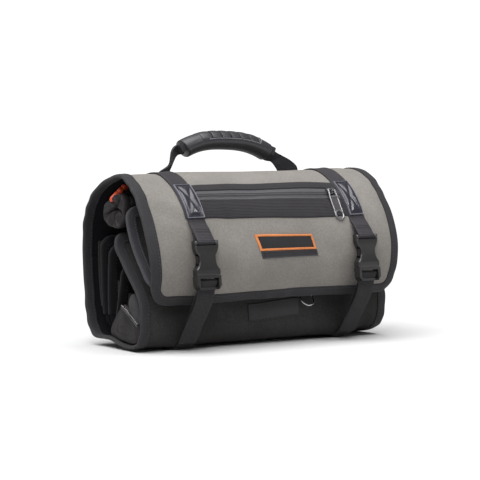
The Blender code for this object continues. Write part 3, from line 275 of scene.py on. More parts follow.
def relief(x, s):
    """How far the wrap's cloth stands off its plain outline."""
    c = np.clip((s - TOP_FOLD) / (HEM - TOP_FOLD), 0, 1)
    on_cover = ramp(s, TOP_FOLD, TOP_FOLD + 0.05)
    on_front = 1 - ramp(s, FRONT_FOLD - 0.02, FRONT_FOLD)
    middle = 1 - np.clip(np.abs(x) / HALF, 0, 1) ** 2.2
    calm = 1 - 0.85 * bump(c, 0.20, 0.13)
    out = (0.0042 * middle * ramp(c, 0.40, 0.66) * (1 - 0.5 * ramp(c, 0.85, 1.0))
           - 0.0016 * middle * bump(s, RIDGE, 0.040)
           + 0.0014 * ramp(x, 0.06, 0.14) * (1 - ramp(x, 0.150, 0.175)) * bump(s, RIDGE, 0.030)
           + SHOULDER(s - TOP_FOLD) * ramp(-x, 0.100, 0.190)
           - 0.0020 * ramp(-x, 0.080, 0.190) * bump(s, BACK_MID, 0.060)
           - 0.0016 * bump(np.abs(x), STRAP_X, 0.019) * ramp(c, 0.12, 0.30) * (1 - ramp(c, 0.72, 0.9))
           + 0.0010 * waves(x, s) * ramp(s, 0.02, 0.06) * (0.35 + 0.65 * on_cover) * calm)
    drape = sum(height * bump(x, x0, wide) * bump(c, c0, long) for height, x0, wide, c0, long in DRAPES)
    hem_ripple = 0.0005 * np.sin(x * 150 + 2.0 * np.sin(x * 37)) * bump(s, HEM - 0.006, 0.009)
    drape = drape + creases(x, s) + hem_ripple
    front = (0.0018 * np.sin(x * 31 + 0.6) * on_front * bump(s, FRONT_FOLD - 0.045, 0.03)
             + 0.0012 * np.sin(x * 47 + s * 60) * on_front * bump(s, FRONT_FOLD - 0.030, 0.02))
    lift = (0.0044 * (1 - bump(np.abs(x), STRAP_X, 0.022)) * bump(s, FRONT_FOLD + 0.004, 0.016)
            + 0.0058 * ramp(x, 0.136, 0.164) * bump(s, FRONT_FOLD + 0.004, 0.030)
            + 0.0095 * ramp(-x, 0.155, 0.190) * bump(s, BACK_FOLD - 0.062, 0.036))
    return out + drape * on_cover + front - lift


def end_shift(x, s):
    """How far the wrap's two ends wander along the roll."""
    c = np.clip((s - RIDGE) / (HEM - RIDGE), 0, 1)
    on = ramp(s, TOP_FOLD + 0.01, RIDGE + 0.02)
    left = 0.0010 - 0.0110 * np.sin(math.pi * c) ** 1.1 + 0.0040 * c
    left = left * on + 0.0024 * bump(s, BACK_MID - 0.017, 0.050)
    frayed = 0.0005 * np.sin(s * 160 + 3 * np.sin(s * 41))
    weight = np.clip(np.abs(x) / HALF, 0, 1.1) ** 4
    return (np.where(x < 0, left, RIGHT_END(c) * on) + frayed) * weight


def drift(x, s):
    """How far the flap's cloth rides up or down from its mark."""
    c = np.clip((s - RIDGE) / (HEM - RIDGE), 0, 1)
    band = 0.0008 * np.sin(x * 52 + 1.291) * bump(c, 0.24, 0.10)
    hem = (0.0030 + 0.0006 * x / HALF + 0.0028 * bump(x, 0.02, 0.085)) * ramp(c, 0.50, 0.95)
    label = (0.0028 + 0.030 * x) * bump(x, 0.0, 0.11) * bump(c, 0.50, 0.16)
    name = 0.0048 * ramp(0.046 - x, 0.0, 0.078) * bump(s, FRONT_FOLD - 0.042, 0.030)
    return band + label - hem + name


WRAP.swell, WRAP.shift, WRAP.drift = relief, end_shift, drift


def place(x, s, out=0.0, profile=WRAP):
    """World points on a profile, raised off its cloth."""
    x, s, out = np.broadcast_arrays(*(np.asarray(v, float) for v in (x, s, out)))
    s = s + profile.drift(x, s)
    y, z, ny, nz = profile.at(s)
    d = out + profile.swell(x, s)
    return np.stack([x + profile.shift(x, s), y + ny * d, z + nz * d], -1)


# Materials
WHITE = (1, 1, 1)


def feed(tree, node, inputs):
    """Set a node's inputs, each to a value or to another node's output."""
    for key, value in inputs.items():
        if isinstance(value, bpy.types.NodeSocket):
            tree.links.new(value, node.inputs[key])
        else:
            node.inputs[key].default_value = value
    return node


def add(tree, kind, inputs, **settings):
    node = tree.nodes.new(kind)
    for key, value in settings.items():
        setattr(node, key, value)
    return feed(tree, node, inputs)


def new_material(name, inputs):
    """Material with its node tree, shader, and the object's own coordinates."""
    made = bpy.data.materials.new(name)
    made.use_nodes = True
    tree = made.node_tree
    shader = feed(tree, tree.nodes["Principled BSDF"], inputs)
    return made, tree, shader, add(tree, "ShaderNodeTexCoord", {}).outputs["Object"]


def noise(tree, where, scale, detail):
    return add(tree, "ShaderNodeTexNoise", {"Vector": where, "Scale": scale, "Detail": detail}).outputs["Fac"]


def mottle(tree, grain, colour, below, above):
    """A colour that a noise runs from a share below it to a share above it."""
    node = add(tree, "ShaderNodeValToRGB", {"Fac": grain})
    for element, position, share in zip(node.color_ramp.elements, (0.32, 0.68), (1 - below, 1 + above)):
        element.position = position
        element.color = (*(c * share for c in colour), 1)
    return node.outputs[0]


def threads(tree, turn, pitch, distortion, detail, detail_scale=1.0):
    """Wave over the piece's own map, turned and at a pitch."""
    where = add(tree, "ShaderNodeUVMap", {}).outputs["UV"]
    spin = add(tree, "ShaderNodeMapping", {"Vector": where, "Rotation": (0, 0, turn)}).outputs["Vector"]
    return add(tree, "ShaderNodeTexWave", {
        "Vector": spin, "Scale": TURN / (20 * pitch), "Distortion": distortion, "Detail": detail,
        "Detail Scale": detail_scale}).outputs["Fac"]


def weighted(tree, a, share, b):
    return add(tree, "ShaderNodeMath", {0: a, 1: share, 2: b}, operation="MULTIPLY_ADD").outputs[0]


def spread_out(tree, value, low, high, top=1.0):
    """A value from 0 to top, moved to run from low to high."""
    return add(tree, "ShaderNodeMapRange", {"Value": value, "From Max": top, "To Min": low,
                                            "To Max": high}).outputs["Result"]


def dye(tree, shader, colour, *others):
    """Colour a shader with the product of some colours."""
    for other in others:
        colour = add(tree, "ShaderNodeMix", {"Factor": 1.0, 6: colour, 7: other}, data_type="RGBA",
                     blend_type="MULTIPLY").outputs[2]
    feed(tree, shader, {"Base Color": colour})


def emboss(tree, shader, height, strength, distance):
    raised = add(tree, "ShaderNodeBump", {"Strength": strength, "Distance": distance, "Height": height})
    feed(tree, shader, {"Normal": raised.outputs[0]})


def cloth_material(name, colour, roughness, weave=0.0011, height=0.00025, spread=0.10, blotch=0.10,
                   sheen=0.15, twill=False, gloss=0.15):
    """Woven cloth: threads both ways, uneven dye, slubs and a little fuzz."""
    made, tree, shader, where = new_material(name, {"Roughness": roughness, "Sheen Weight": sheen,
                                                    "Sheen Roughness": 0.5, "Specular IOR Level": gloss})
    lean = 0.6 if twill else 0.0
    weft, warp = (threads(tree, turn + lean, weave, 1.2, 2.0, 1.5) for turn in (0.0, math.pi / 2))
    cross = add(tree, "ShaderNodeMath", {0: weft, 1: warp}, operation="MULTIPLY").outputs[0]
    fine = noise(tree, where, 420, 4.0)
    dye(tree, shader, mottle(tree, fine, colour, spread, spread),
        mottle(tree, noise(tree, where, 1500, 1.0), WHITE, 1.4 * spread, 0),
        mottle(tree, noise(tree, where, 22, 5.0), WHITE, blotch, 0))
    emboss(tree, shader, weighted(tree, fine, 0.6, cross), 0.6, height)
    return made


def webbing_material(name, colour, roughness=0.6, rib=0.0016, rib_shade=0.35, gloss=0.2):
    """Ribbed webbing: cross ribs with a herringbone of fine threads, and painted shade between the ribs."""
    made, tree, shader, where = new_material(name, {"Roughness": roughness, "Sheen Weight": 0.05,
                                                    "Specular IOR Level": gloss})
    ribs = threads(tree, math.pi / 2, rib, 0.6, 1.0)
    both = weighted(tree, threads(tree, 0.75, 0.0011, 0.8, 1.0), 0.5, ribs)
    # The last factor darkens the colour in the hollows between the ribs: painted shade.
    dye(tree, shader, mottle(tree, noise(tree, where, 600, 4.0), colour, 0.18, 0.18),
        mottle(tree, noise(tree, where, 40, 3.0), WHITE, 0.14, 0),
        spread_out(tree, both, 1 - rib_shade, 1 + rib_shade * 0.7, 1.5))
    emboss(tree, shader, both, 0.7, 0.0004)
    return made


def moulded_material(name, colour, roughness, grain=1400, height=0.00004, spread=0.08, metallic=0.0,
                     coat=0.0):
    """Plastic, rubber or plated metal with a fine skin and slightly uneven gloss."""
    made, tree, shader, where = new_material(name, {"Metallic": metallic, "Coat Weight": coat})
    dye(tree, shader, mottle(tree, noise(tree, where, 70, 4.0), colour, spread, spread))
    emboss(tree, shader, noise(tree, where, grain, 3.0), 0.4, height)
    worn = spread_out(tree, noise(tree, where, 120, 5.0), roughness - 0.08, roughness + 0.10)
    feed(tree, shader, {"Roughness": worn})
    return made


CANVAS = cloth_material("canvas_grey", (0.238, 0.223, 0.205), 0.88, height=0.0005, blotch=0.14, twill=True,
                        sheen=0.05)
DARK = cloth_material("canvas_dark", (0.044, 0.042, 0.041), 0.85, height=0.0004, spread=0.18, blotch=0.24,
                      sheen=0.02)
INSIDE_CLOTH = cloth_material("canvas_inside", (0.011, 0.010, 0.012), 0.88, spread=0.16, blotch=0.3,
                              sheen=0.0, gloss=0.08)
POUCH_CLOTH = cloth_material("pouch_nylon", (0.014, 0.011, 0.0125), 0.55, 0.0008, 0.0003, 0.12, 0.2, 0.0,
                             gloss=0.28)
LINING = cloth_material("lining_dark", (0.010, 0.009, 0.011), 0.88, sheen=0.0, gloss=0.08)
TAPE = webbing_material("edging_tape", (0.025, 0.023, 0.026), 0.60, 0.0013, 0.16, 0.24)
# Darker copy of the edging tape for the pages deep inside the roll: painted shade.
TAPE_SHADED = webbing_material("edging_inside", (0.010, 0.009, 0.011), 0.7, 0.0013, 0.12, 0.10)
TAPE_FLAP = webbing_material("edging_flap", (0.046, 0.044, 0.052), 0.56, 0.0013, 0.16, 0.3)
STRAP = webbing_material("strap_webbing", (0.032, 0.029, 0.034), 0.58, 0.0024, 0.5)
TAIL = webbing_material("strap_tail", (0.026, 0.024, 0.026), 0.66, 0.0018, 0.3, 0.12)
BAND = webbing_material("pocket_band", (0.028, 0.026, 0.029), 0.66, 0.0021, 0.5, 0.14)
VINYL = moulded_material("vinyl", (0.016, 0.0155, 0.024), 0.30, 300, 0.00003, 0.10, 0.0, 0.15)
VINYL_EDGE = moulded_material("vinyl_edge", (0.15, 0.148, 0.180), 0.40, 700, 0.0001)
ACETAL = moulded_material("acetal_black", (0.017, 0.016, 0.016), 0.34)
RUBBER = moulded_material("rubber_black", (0.024, 0.023, 0.027), 0.40, 1600, 0.00006)
# Darker copy of the grip's rubber for the bottoms of its grooves: painted shade.
RUBBER_GROOVE_SHADE = moulded_material("rubber_groove", (0.006, 0.006, 0.007), 0.6, 1600, 0.00006)
RUBBER_LINE = moulded_material("rubber_line", (0.150, 0.147, 0.165), 0.45, 1600, 0.00006)
RUBBER_UNDER = moulded_material("rubber_under", (0.013, 0.012, 0.014), 0.55, 1600, 0.00006)
KNOB = moulded_material("acetal_polished", (0.030, 0.029, 0.030), 0.16)
NICKEL = moulded_material("nickel", (0.20, 0.195, 0.205), 0.36, 900, 0.00003, 0.22, 1.0)
DARK_NICKEL = moulded_material("nickel_recess", (0.060, 0.057, 0.062), 0.42, 900, 0.00003, 0.25, 0.4)
BRIGHT_NICKEL = moulded_material("nickel_bright", (0.46, 0.45, 0.46), 0.25, 900, 0.00003, 0.15, 1.0)
ZIP_TAPE = cloth_material("zip_tape", (0.046, 0.044, 0.050), 0.42, 0.0008, gloss=0.45)
THREAD = moulded_material("thread_dark", (0.042, 0.040, 0.047), 0.6)
# Dark thread; on the pages' tape inside the roll its darkness is painted shade.
THREAD_DIM = moulded_material("thread_inside", (0.022, 0.020, 0.024), 0.6)
THREAD_LIGHT = moulded_material("thread_light", (0.18, 0.175, 0.20), 0.55)
THREAD_VINYL = moulded_material("thread_vinyl", (0.012, 0.011, 0.015), 0.55)
THREAD_BLACK = moulded_material("thread_black", (0.008, 0.008, 0.009), 0.6)
ORANGE = webbing_material("label_satin", (0.80, 0.27, 0.085), 0.5, 0.0009, 0.2)
FIELD = cloth_material("label_field", (0.018, 0.018, 0.020), 0.7, 0.0007)
STRIP = cloth_material("label_strip", (0.026, 0.025, 0.028), 0.7, 0.0007)
NAME_CLOTH = cloth_material("name_field", (0.040, 0.038, 0.041), 0.6, 0.0007)
CORD = moulded_material("orange_moulding", (0.58, 0.068, 0.020), 0.42, 1200, 0.00006)


# Meshes
def link(name, data):
    made = bpy.data.objects.new(name, data)
    bpy.context.scene.collection.objects.link(made)
    return made


def build(name, points, faces, materials, uv=None, slots=None):
    """Smooth mesh from points and faces; one with a map also has its faces turned outwards."""
    mesh = bpy.data.meshes.new(name)
    mesh.from_pydata(points.tolist(), [], faces)
    for m in materials:
        mesh.materials.append(m)
    if slots is not None:
        mesh.polygons.foreach_set("material_index", np.asarray(slots, np.int32))
    if uv is not None:
        layer = mesh.uv_layers.new(name="UVMap")
        loops = np.zeros(len(mesh.loops), np.int32)
        mesh.loops.foreach_get("vertex_index", loops)
        layer.data.foreach_set("uv", uv.reshape(-1, 2)[loops].astype(np.float32).ravel())
        work = bmesh.new()
        work.from_mesh(mesh)
        bmesh.ops.recalc_face_normals(work, faces=work.faces)
        work.to_mesh(mesh)
        work.free()
    mesh.polygons.foreach_set("use_smooth", [True] * len(mesh.polygons))
    mesh.update()
    return link(name, mesh)


def skin(numbers, closed=False):
    """Faces between the rows of a grid of point numbers, each row a ring."""
    below = numbers if closed else numbers[:-1]
    above = np.roll(numbers, -1, 0)[:len(below)]
    return np.stack([below, np.roll(below, -1, 1), np.roll(above, -1, 1), above], -1).reshape(-1, 4).tolist()


def loft(name, rings, materials, closed=False):
    """Skin through rings of equally many points, closed across and capped at its ends."""
    rings = np.asarray(rings)
    n, k = rings.shape[:2]
    across = np.cumsum(np.linalg.norm(rings[n // 2] - np.roll(rings[n // 2], 1, 0), axis=1))
    numbers = np.arange(n * k).reshape(n, k)
    faces = skin(numbers, closed)
    if not closed:
        faces += [numbers[0].tolist(), numbers[-1].tolist()]
    uv = stacked(across, travelled(rings.mean(1))[:, None])
    made = build(name, rings.reshape(-1, 3), faces, materials, uv)
    made.data.set_sharp_from_angle(angle=math.radians(50))
    return made


def tube(name, path, radii, material, closed, sides, up):
    """Round or flattened bar along a path."""
    if closed:
        t = unit(np.roll(path, -1, 0) - np.roll(path, 1, 0))
    else:
        t = heading(path)
    b = unit(np.cross(t, np.asarray(up, float)))
    n = np.cross(b, t)
    a = angles(sides)[:, None]
    rings = path[:, None] + np.cos(a) * radii[0] * b[:, None] + np.sin(a) * radii[1] * n[:, None]
    return loft(name, rings, [material], closed)


def slab(name, outer, inner, uv, materials, face_slots=0):
    """Cloth between two grids of points, closed all round; the last material is the inner face's."""
    n, m = outer.shape[:2]
    k = 2 * m
    numbers = np.arange(n * k).reshape(n, k)
    slots = np.zeros((n - 1, k), int)
    if np.ndim(face_slots):
        slots[:] = len(materials) - 1
        slots[:, :m - 1] = face_slots[:, None]
    rims = numbers[[0, -1]].tolist()
    ends = [(r[j], r[j + 1], r[k - 2 - j], r[k - 1 - j]) for r in rims for j in range(m - 1)]
    slots = slots.ravel().tolist() + [len(materials) - 1] * len(ends)
    grid, texture = (np.concatenate([a, b[:, ::-1]], 1) for a, b in ((outer, inner), (uv, uv)))
    return build(name, grid.reshape(-1, 3), skin(numbers) + ends, materials, texture, slots)


def thin(x, s):
    return 0.0, -CLOTH


def two_faced(name, s, wide, materials, profile=WRAP, faces=thin, count=101, face_slots=0):
    """Cloth in rows at s, each as wide to both sides, between the two heights that faces gives."""
    x, s = np.broadcast_arrays(wide[:, None] * np.linspace(-1, 1, count), s[:, None])
    top, under = (place(x, s, out, profile) for out in faces(x, s))
    return slab(name, top, under, np.stack([x, s], -1), materials, face_slots)


def pad_grid(low, high, edge, step):
    """Places across a patch, crowded near its two edges."""
    near = np.array([0, 0.12, 0.35, 0.7, 1.0]) * edge
    inside = np.linspace(low + edge, high - edge, max(2, int((high - low) / step)))[1:-1]
    return np.concatenate([low + near, inside, high - near[::-1]])


def cut(inside, corner):
    """How much a round corner takes off at a distance past its start."""
    return np.where(inside > 0, corner - np.sqrt(np.clip(corner ** 2 - inside ** 2, 0, None)), 0)


def no_lean(s):
    return 0.0 * s


def pad_on(name, x0, x1, s0, s1, base, thick, material, edge=0.0012, step=0.004, corner=0.0, crown=0.0,
           profile=WRAP, extra=still, lean=no_lean):
    """Flat piece sewn on cloth, with rounded edges and an optional crown."""
    x, s = np.meshgrid(pad_grid(x0, x1, edge, step), pad_grid(s0, s1, edge, step))
    near = np.minimum(s - s0, s1 - s)
    middle, half = (x0 + x1) / 2, (x1 - x0) / 2
    if corner:
        x = middle + (x - middle) * (1 - cut(corner - near, corner) / half)
    e = np.minimum(np.minimum(x - x.min(1)[:, None], x.max(1)[:, None] - x), near)
    rise = np.sqrt(np.clip(1 - (1 - np.clip(e / edge, 0, 1)) ** 2, 0, 1))
    across = 1 - ((x - middle) / half) ** 2
    along = 1 - (2 * (s - (s0 + s1) / 2) / (s1 - s0)) ** 2
    height = base + thick * rise + crown * np.clip(across, 0, 1) ** 0.7 * np.clip(along, 0, 1) ** 0.7
    height = height + extra(x, s) * rise
    top, under = (place(x + lean(s), s, out, profile) for out in (height, base - 0.0002))
    return slab(name, top, under, np.stack([x, s], -1), [material])


def tape_section(width=TAPE_WIDTH, cloth=CLOTH, thick=0.0014):
    """Folded tape round an edge: inward distance and height over the cloth's outer face."""
    upper = np.array([(width, -0.3 * cloth), (width + 0.0001, 0.0003), (width - 0.0004, thick * 0.9),
                      (width * 0.6, thick * 1.05), (width * 0.2, thick), (0.0003, thick * 0.75),
                      (-0.0009, 0.0)])
    return np.vstack([upper, [(-0.0013, -cloth / 2)], upper[::-1] * (1, -1) - (0, cloth)])


TAPE_SECTION = tape_section()
# Turns a path of (x, s, inward x, inward s) over to the other side
MIRROR = np.array([-1, 1, -1, 1])


def edge_path(start, end, half, corner, sign=1.0):
    """Path up the right side, round the free end at end, and down the left side."""
    straight = end - sign * corner
    up = np.linspace(start, straight, max(3, int(abs(straight - start) / 0.004)))
    a = np.linspace(0, math.pi / 2, 9)[1:]
    turn = stacked(half - corner + corner * np.cos(a), straight + sign * corner * np.sin(a), -np.cos(a),
                   -sign * np.sin(a))
    across = np.linspace(half - corner, corner - half, 2 * int(half / 0.004))[1:-1]
    right = np.vstack([stacked(half, up, -1.0, 0.0), turn])
    return np.vstack([right, stacked(across, end, 0.0, -sign), right[::-1] * MIRROR])


THREADS = {}


def row(group, points, normals, pitch=0.0044, length=0.0030, width=0.0011, height=0.0009, thread=THREAD):
    """Stitches along a line of points."""
    gone = travelled(points)
    marks = np.arange(pitch / 2, gone[-1], pitch)
    t = unit(walk(points, gone, marks + pitch / 4) - walk(points, gone, marks - pitch / 4))
    n = unit(walk(normals, gone, marks))
    middle = walk(points, gone, marks) + n * 0.0001
    THREADS.setdefault((group, thread.name), []).append((middle, t * length / 2, np.cross(t, n) * width / 2,
                                                         n * height / 2))


def wrap_row(group, x, s, out, profile=WRAP, **options):
    """Stitches along a line given across and along a profile."""
    p = place(x, s, out, profile)
    row(group, p, place(x, s, np.asarray(out) + 0.001, profile) - p, **options)


def line(a, b, count=40):
    return np.linspace(a[0], b[0], count), np.linspace(a[1], b[1], count)


def shrunk(x0, x1, s0, s1, inset):
    """A rectangle on cloth, drawn in on its four sides."""
    return x0 + inset, x1 - inset, s0 + inset, s1 - inset


def outline_rows(group, x0, x1, s0, s1, inset, out, profile=WRAP, lean=no_lean, **options):
    x0, x1, s0, s1 = shrunk(x0, x1, s0, s1, inset)
    corners = [(x0, s0), (x1, s0), (x1, s1), (x0, s1), (x0, s0)]
    for a, b in zip(corners, corners[1:]):
        x, s = line(a, b)
        wrap_row(group, x + lean(s), s, out, profile, **options)


def sew():
    """One object for each body's stitches of one thread."""
    shape = np.array([(0, 1, 4), (1, 2, 4), (2, 3, 4), (3, 0, 4), (1, 0, 5), (2, 1, 5), (3, 2, 5), (0, 3, 5)])
    for (group, thread), parts in THREADS.items():
        middle, t, b, n = (np.concatenate([p[k] for p in parts]) for k in range(4))
        corners = np.stack([middle - t, middle + b, middle + t, middle - b, middle + n, middle - n], 1)
        faces = (shape + np.arange(len(middle))[:, None, None] * 6).reshape(-1, 3).tolist()
        name = "stitches_%s_%s" % (group, thread)
        piece = build(name, corners.reshape(-1, 3), faces, [bpy.data.materials[thread]])
        dress(piece, group, "nickel" if "nickel" in thread else "webbing")


# Cloth that crosses a fold between two bodies: the bodies, the fold's mark, a way and a reach
BENDS = {
    "front_base": ("front", "base", FRONT_FOLD, (0.0, 0.707, -0.707), 0.006),
    "base_back": ("base", "back", BACK_FOLD, (0.0, 0.6, 0.8), 0.008),
    "back_cover": ("back", "cover", TOP_FOLD, (0.0, -0.8, 0.6), 0.008),
}


def dress(piece, group, slot, *nodes):
    """Let a piece ride on a body, or keep one that crosses a fold between two fixed where it is, and hide the
    parts that it stands for.
    """
    if group in BENDS:
        a, b, mark, way, reach = BENDS[group]
        way = Vector(way)
        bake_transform(piece)
    else:
        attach(piece, group)
    if nodes:
        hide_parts(*nodes)
    return piece


def edged(name, path, group, nodes=(), profile=WRAP, section=TAPE_SECTION, material=TAPE, closed=False,
          inset=0.0098, outs=(0.0015, -CLOTH - 0.0015), **stitches):
    """Edging tape along a path of (x, s, inward x, inward s), with a row of stitches on both its faces."""
    x, s = (path[:, k, None] + section[:, 0] * path[:, k + 2, None] for k in (0, 1))
    dress(loft(name, place(x, s, section[:, 1], profile), [material], closed), group, "edging", *nodes)
    x, s = (path[:, k] + path[:, k + 2] * inset for k in (0, 1))
    for out in outs:
        wrap_row(group, x, s, out, profile, **stitches)


# Wrap
def drawn_half(s, half, end, corner, sign=1.0):
    """Half the cloth's length, drawn in round its corners."""
    return half - cut(corner - sign * (end - s), corner)


def wrap_cloth(name, start, end, group, slot, nodes, materials, free=0, split=math.inf, corner=0.018):
    """A stretch of the wrap as two-faced cloth; free is its free end, and split parts two outer materials."""
    s = np.linspace(start, end, int((end - start) / 0.0036))
    wide = np.full(len(s), HALF - TUCK)
    if free:
        wide = drawn_half(s, HALF - TUCK, end if free > 0 else start, corner, free)
    face_slots = np.where((s[:-1] + s[1:]) / 2 < split, 0, 1)
    piece = dress(two_faced(name, s, wide, materials, count=121, face_slots=face_slots), group, slot, *nodes)


FREE = -0.005
SEAM = TOP_FOLD + 0.006
wrap_cloth("wrap_front", FREE + TUCK, BASE_MID, "front_base", "dark_canvas", ["front_panel"],
           [DARK, LINING], -1)
wrap_cloth("wrap_base", BASE_MID, BACK_MID, "base_back", "dark_canvas", ["base_panel"], [DARK, LINING])
wrap_cloth("wrap_cover", BACK_MID, HEM - TUCK, "back_cover", "canvas", ["back_panel", "cover_flap"],
           [DARK, CANVAS, LINING], 1, SEAM, 0.023)
right_side = stacked(HALF, np.linspace(BASE_MID, BACK_MID, 60), -1.0, 0.0)
edged("tape_front", edge_path(BASE_MID, FREE, HALF, 0.016, -1.0), "front_base", ["front_edging"])
edged("tape_cover", edge_path(BACK_MID, HEM, HALF, 0.024), "back_cover",
      ["back_edging_left", "back_edging_right", "cover_edging"])
edged("tape_base_right", right_side, "base_back", ["base_edging_right"])
edged("tape_base_left", right_side * MIRROR, "base_back", ["base_edging_left"])
for mark in (SEAM + 0.002, SEAM + 0.0085):
    wrap_row("back_cover", *line((-HALF + 0.014, mark), (HALF - 0.014, mark), 120), 0.0004)

# Zip pocket across the flap
REACH = STRAP_X - STRAP_HALF + 0.002
ZIP_TOP = PATCH_TOP + UPPER_BAND
ZIP_MID = ZIP_TOP + GAP + ZIP_WIDTH / 2
LOW_BAND = ZIP_TOP + ZIP_WIDTH + 2 * GAP
BAND_END = PATCH_TOP + PATCH_LENGTH
for name, top, end, thick in (("upper", PATCH_TOP, PATCH_TOP + UPPER_BAND, 0.0018),
                              ("lower", LOW_BAND, BAND_END, 0.0014)):
    band = pad_on("band_" + name, -REACH, REACH, top, end, 0.0001, thick, BAND, crown=0.0003, step=0.003)
    dress(band, "cover", "edging", "zip_band_" + name)


def zip_run(name, reach, middle, width, profile, group, node):
    """Zip with its tape and the covered coil's two ridges."""
    side = np.array([(width / 2, 0.0), (width / 2, 0.0009), (0.0030, 0.0010), (0.0026, 0.0013),
                     (0.0020, 0.0024), (0.0011, 0.0027), (0.0003, 0.0022)])
    section = np.vstack([side * (-1, 1), [(0.0, 0.0014)], side[::-1]])
    xs = np.arange(-reach, reach, 0.0011)[:, None]
    tooth = 0.00022 * np.cos(np.arange(len(xs)) * math.pi)[:, None] * (section[:, 1] > 0.002)
    rings = place(xs, middle + section[:, 0], section[:, 1] + tooth, profile)
    dress(loft(name, rings, [ZIP_TAPE]), group, "zip", node)


zip_run("flap_zip", REACH, ZIP_MID, ZIP_WIDTH, WRAP, "cover", "zip_tape")
for mark in (PATCH_TOP + 0.0016, ZIP_TOP - 0.0016, LOW_BAND + 0.0018, BAND_END - 0.0018):
    wrap_row("cover", *line((-REACH, mark), (REACH, mark), 90), 0.0017, pitch=0.0034, length=0.0023)

# Labels, left bare
LABEL_TOP = height_mark(0.632)


def slant(s):
    """How far the label's ends lean along the roll at a distance down the flap."""
    return 0.25 * (WRAP.at(LABEL_TOP)[1] - WRAP.at(s)[1])


def frame_on(name, x0, x1, s0, s1, width, base, thick, material, lean=no_lean):
    """Flat frame sewn round a rectangle."""
    section = np.array([(0, 0), (0.0001, 0.8), (0.14, 1.0), (0.5, 1.1), (0.86, 1.0), (1.0, 0.8), (1.0, 0.0)])
    corners = [(x0, s0, 1, 1), (x1, s0, -1, 1), (x1, s1, -1, -1), (x0, s1, 1, -1)]
    rings = []
    for (xa, sa, ix, js), (xb, sb, _, _) in zip(corners, corners[1:] + corners[:1]):
        for t in np.linspace(0, 1, 12)[:-1]:
            down = sa + (sb - sa) * t + section[:, 0] * width * (js if t == 0 or xa != xb else 0)
            side = xa + (xb - xa) * t + section[:, 0] * width * (ix if t == 0 or xa == xb else 0)
            rings.append(place(side + lean(down), down, base + section[:, 1] * thick))
    return loft(name, rings, [material], True)


LABEL = (-0.0445, 0.0445, LABEL_TOP, LABEL_TOP + 0.022)
LOWER = (-0.0440, 0.0455, LABEL[3] + 0.0002, LABEL[3] + 0.0097)
RIM = 0.0024
NAME_LOW = height_mark(0.150, 0.0, FRONT_FOLD)
NAME = (-0.032, 0.046, NAME_LOW - 0.022, NAME_LOW)
dress(frame_on("label_edge", *LABEL, 0.0028, 0.0002, 0.0015, ORANGE, slant), "cover", "label_orange",
      "label_border")
dress(pad_on("label_plain", *shrunk(*LABEL, RIM), 0.0002, 0.0010, FIELD, lean=slant), "cover",
      "label_dark", "label_field")
dress(pad_on("label_lower", *LOWER, 0.0002, 0.0009, STRIP, lean=slant), "cover", "label_dark", "label_strip")
dress(pad_on("name_plain", *NAME, 0.0002, 0.0012, NAME_CLOTH, edge=0.0006), "front", "webbing", "front_patch")
dress(frame_on("name_line", *NAME, 0.0014, 0.0004, 0.0012, THREAD_BLACK), "front", "webbing")
outline_rows("front", *NAME, 0.0008, 0.0013, pitch=0.0030, length=0.0021, width=0.0006, thread=THREAD_DIM)
outline_rows("cover", *LABEL, 0.0014, 0.0019, lean=slant, pitch=0.0024, length=0.0018, width=0.0006,
             thread=ORANGE)
outline_rows("cover", *LOWER, 0.0011, 0.0012, lean=slant, pitch=0.0026, length=0.0018, width=0.0005,
             thread=THREAD_LIGHT)

# Straps
under_side = np.array([(-0.0125, -0.25), (-0.0121, -0.5), (-0.006, -0.5), (0, -0.5), (0.006, -0.5),
                       (0.0121, -0.5), (0.0125, -0.25)])
STRAP_SECTION = np.vstack([under_side, under_side[::-1] * (1, -1)])
STRAP_DX, STRAP_DN = STRAP_SECTION[:, 0], STRAP_SECTION[:, 1] * WEBBING
STRAP_OUT = GAP + WEBBING / 2


def on_wrap_rings(x, marks):
    return place(x + STRAP_DX, marks[:, None], STRAP_OUT + STRAP_DN)


def free_rings(x, path, sway=0.0):
    """Strap sections along a path of (y, z) with its outward side on the right of travel."""
    t = heading(path)
    return stacked(x + STRAP_DX + np.reshape(sway, (-1, 1)), path[:, :1] + t[:, 1:] * STRAP_DN,
                   path[:, 1:] - t[:, :1] * STRAP_DN)


LEAN = math.radians(6.5)
MOUTH = np.array([-0.107 + 0.006 * math.cos(LEAN) + 0.0175 * math.sin(LEAN), STACK + 0.425 * CLOTH_RISE])
BACKWARD = np.array([math.cos(LEAN), -math.sin(LEAN)])
UPWARD = np.array([math.sin(LEAN), math.cos(LEAN)])


def in_buckle(back, up):
    return MOUTH + BACKWARD * back + UPWARD * up


BAR = 0.0019 + STRAP_OUT
LOOP_BAR = in_buckle(0.0, 0.037 + 0.0042)
LADDER = in_buckle(0.0, -0.0082)


def touch(bar, point, sign=1.0):
    """Angle at which a strap from a point meets its round over a bar."""
    away = point - bar
    return math.atan2(away[1], away[0]) + sign * math.acos(BAR / np.linalg.norm(away))


def on_bar(bar, angle):
    return bar + BAR * np.stack([np.cos(angle), np.sin(angle)], -1)


def over_bar(bar, before, after, count):
    """Strap's round over a bar, between the points that it comes from and goes to."""
    first, last = touch(bar, before), touch(bar, after, -1.0)
    while last < first:
        last += TURN
    return on_bar(bar, np.linspace(first, last, count))


def upper_path(x):
    """Free stretch of an upper strap: off the flap, round the buckle's bar and back behind itself."""
    leave = BAND_END + 0.001
    p, before = (place(x, mark, STRAP_OUT)[1:] for mark in (leave, leave - 0.004))
    top = on_bar(LOOP_BAR, touch(LOOP_BAR, p))
    up = unit(p - top)
    inward = np.array([up[1], -up[0]])
    tuck = top + up * 0.015 + inward * (WEBBING + 2 * GAP)
    bow = (p + top) / 2 - inward * 0.0006
    first_run = rounded([p, p + (p - before) * 1.2, bow, top + up * 0.002, top], 6)
    return leave, np.vstack([resample(first_run), over_bar(LOOP_BAR, p, tuck, 20)[1:], tuck])


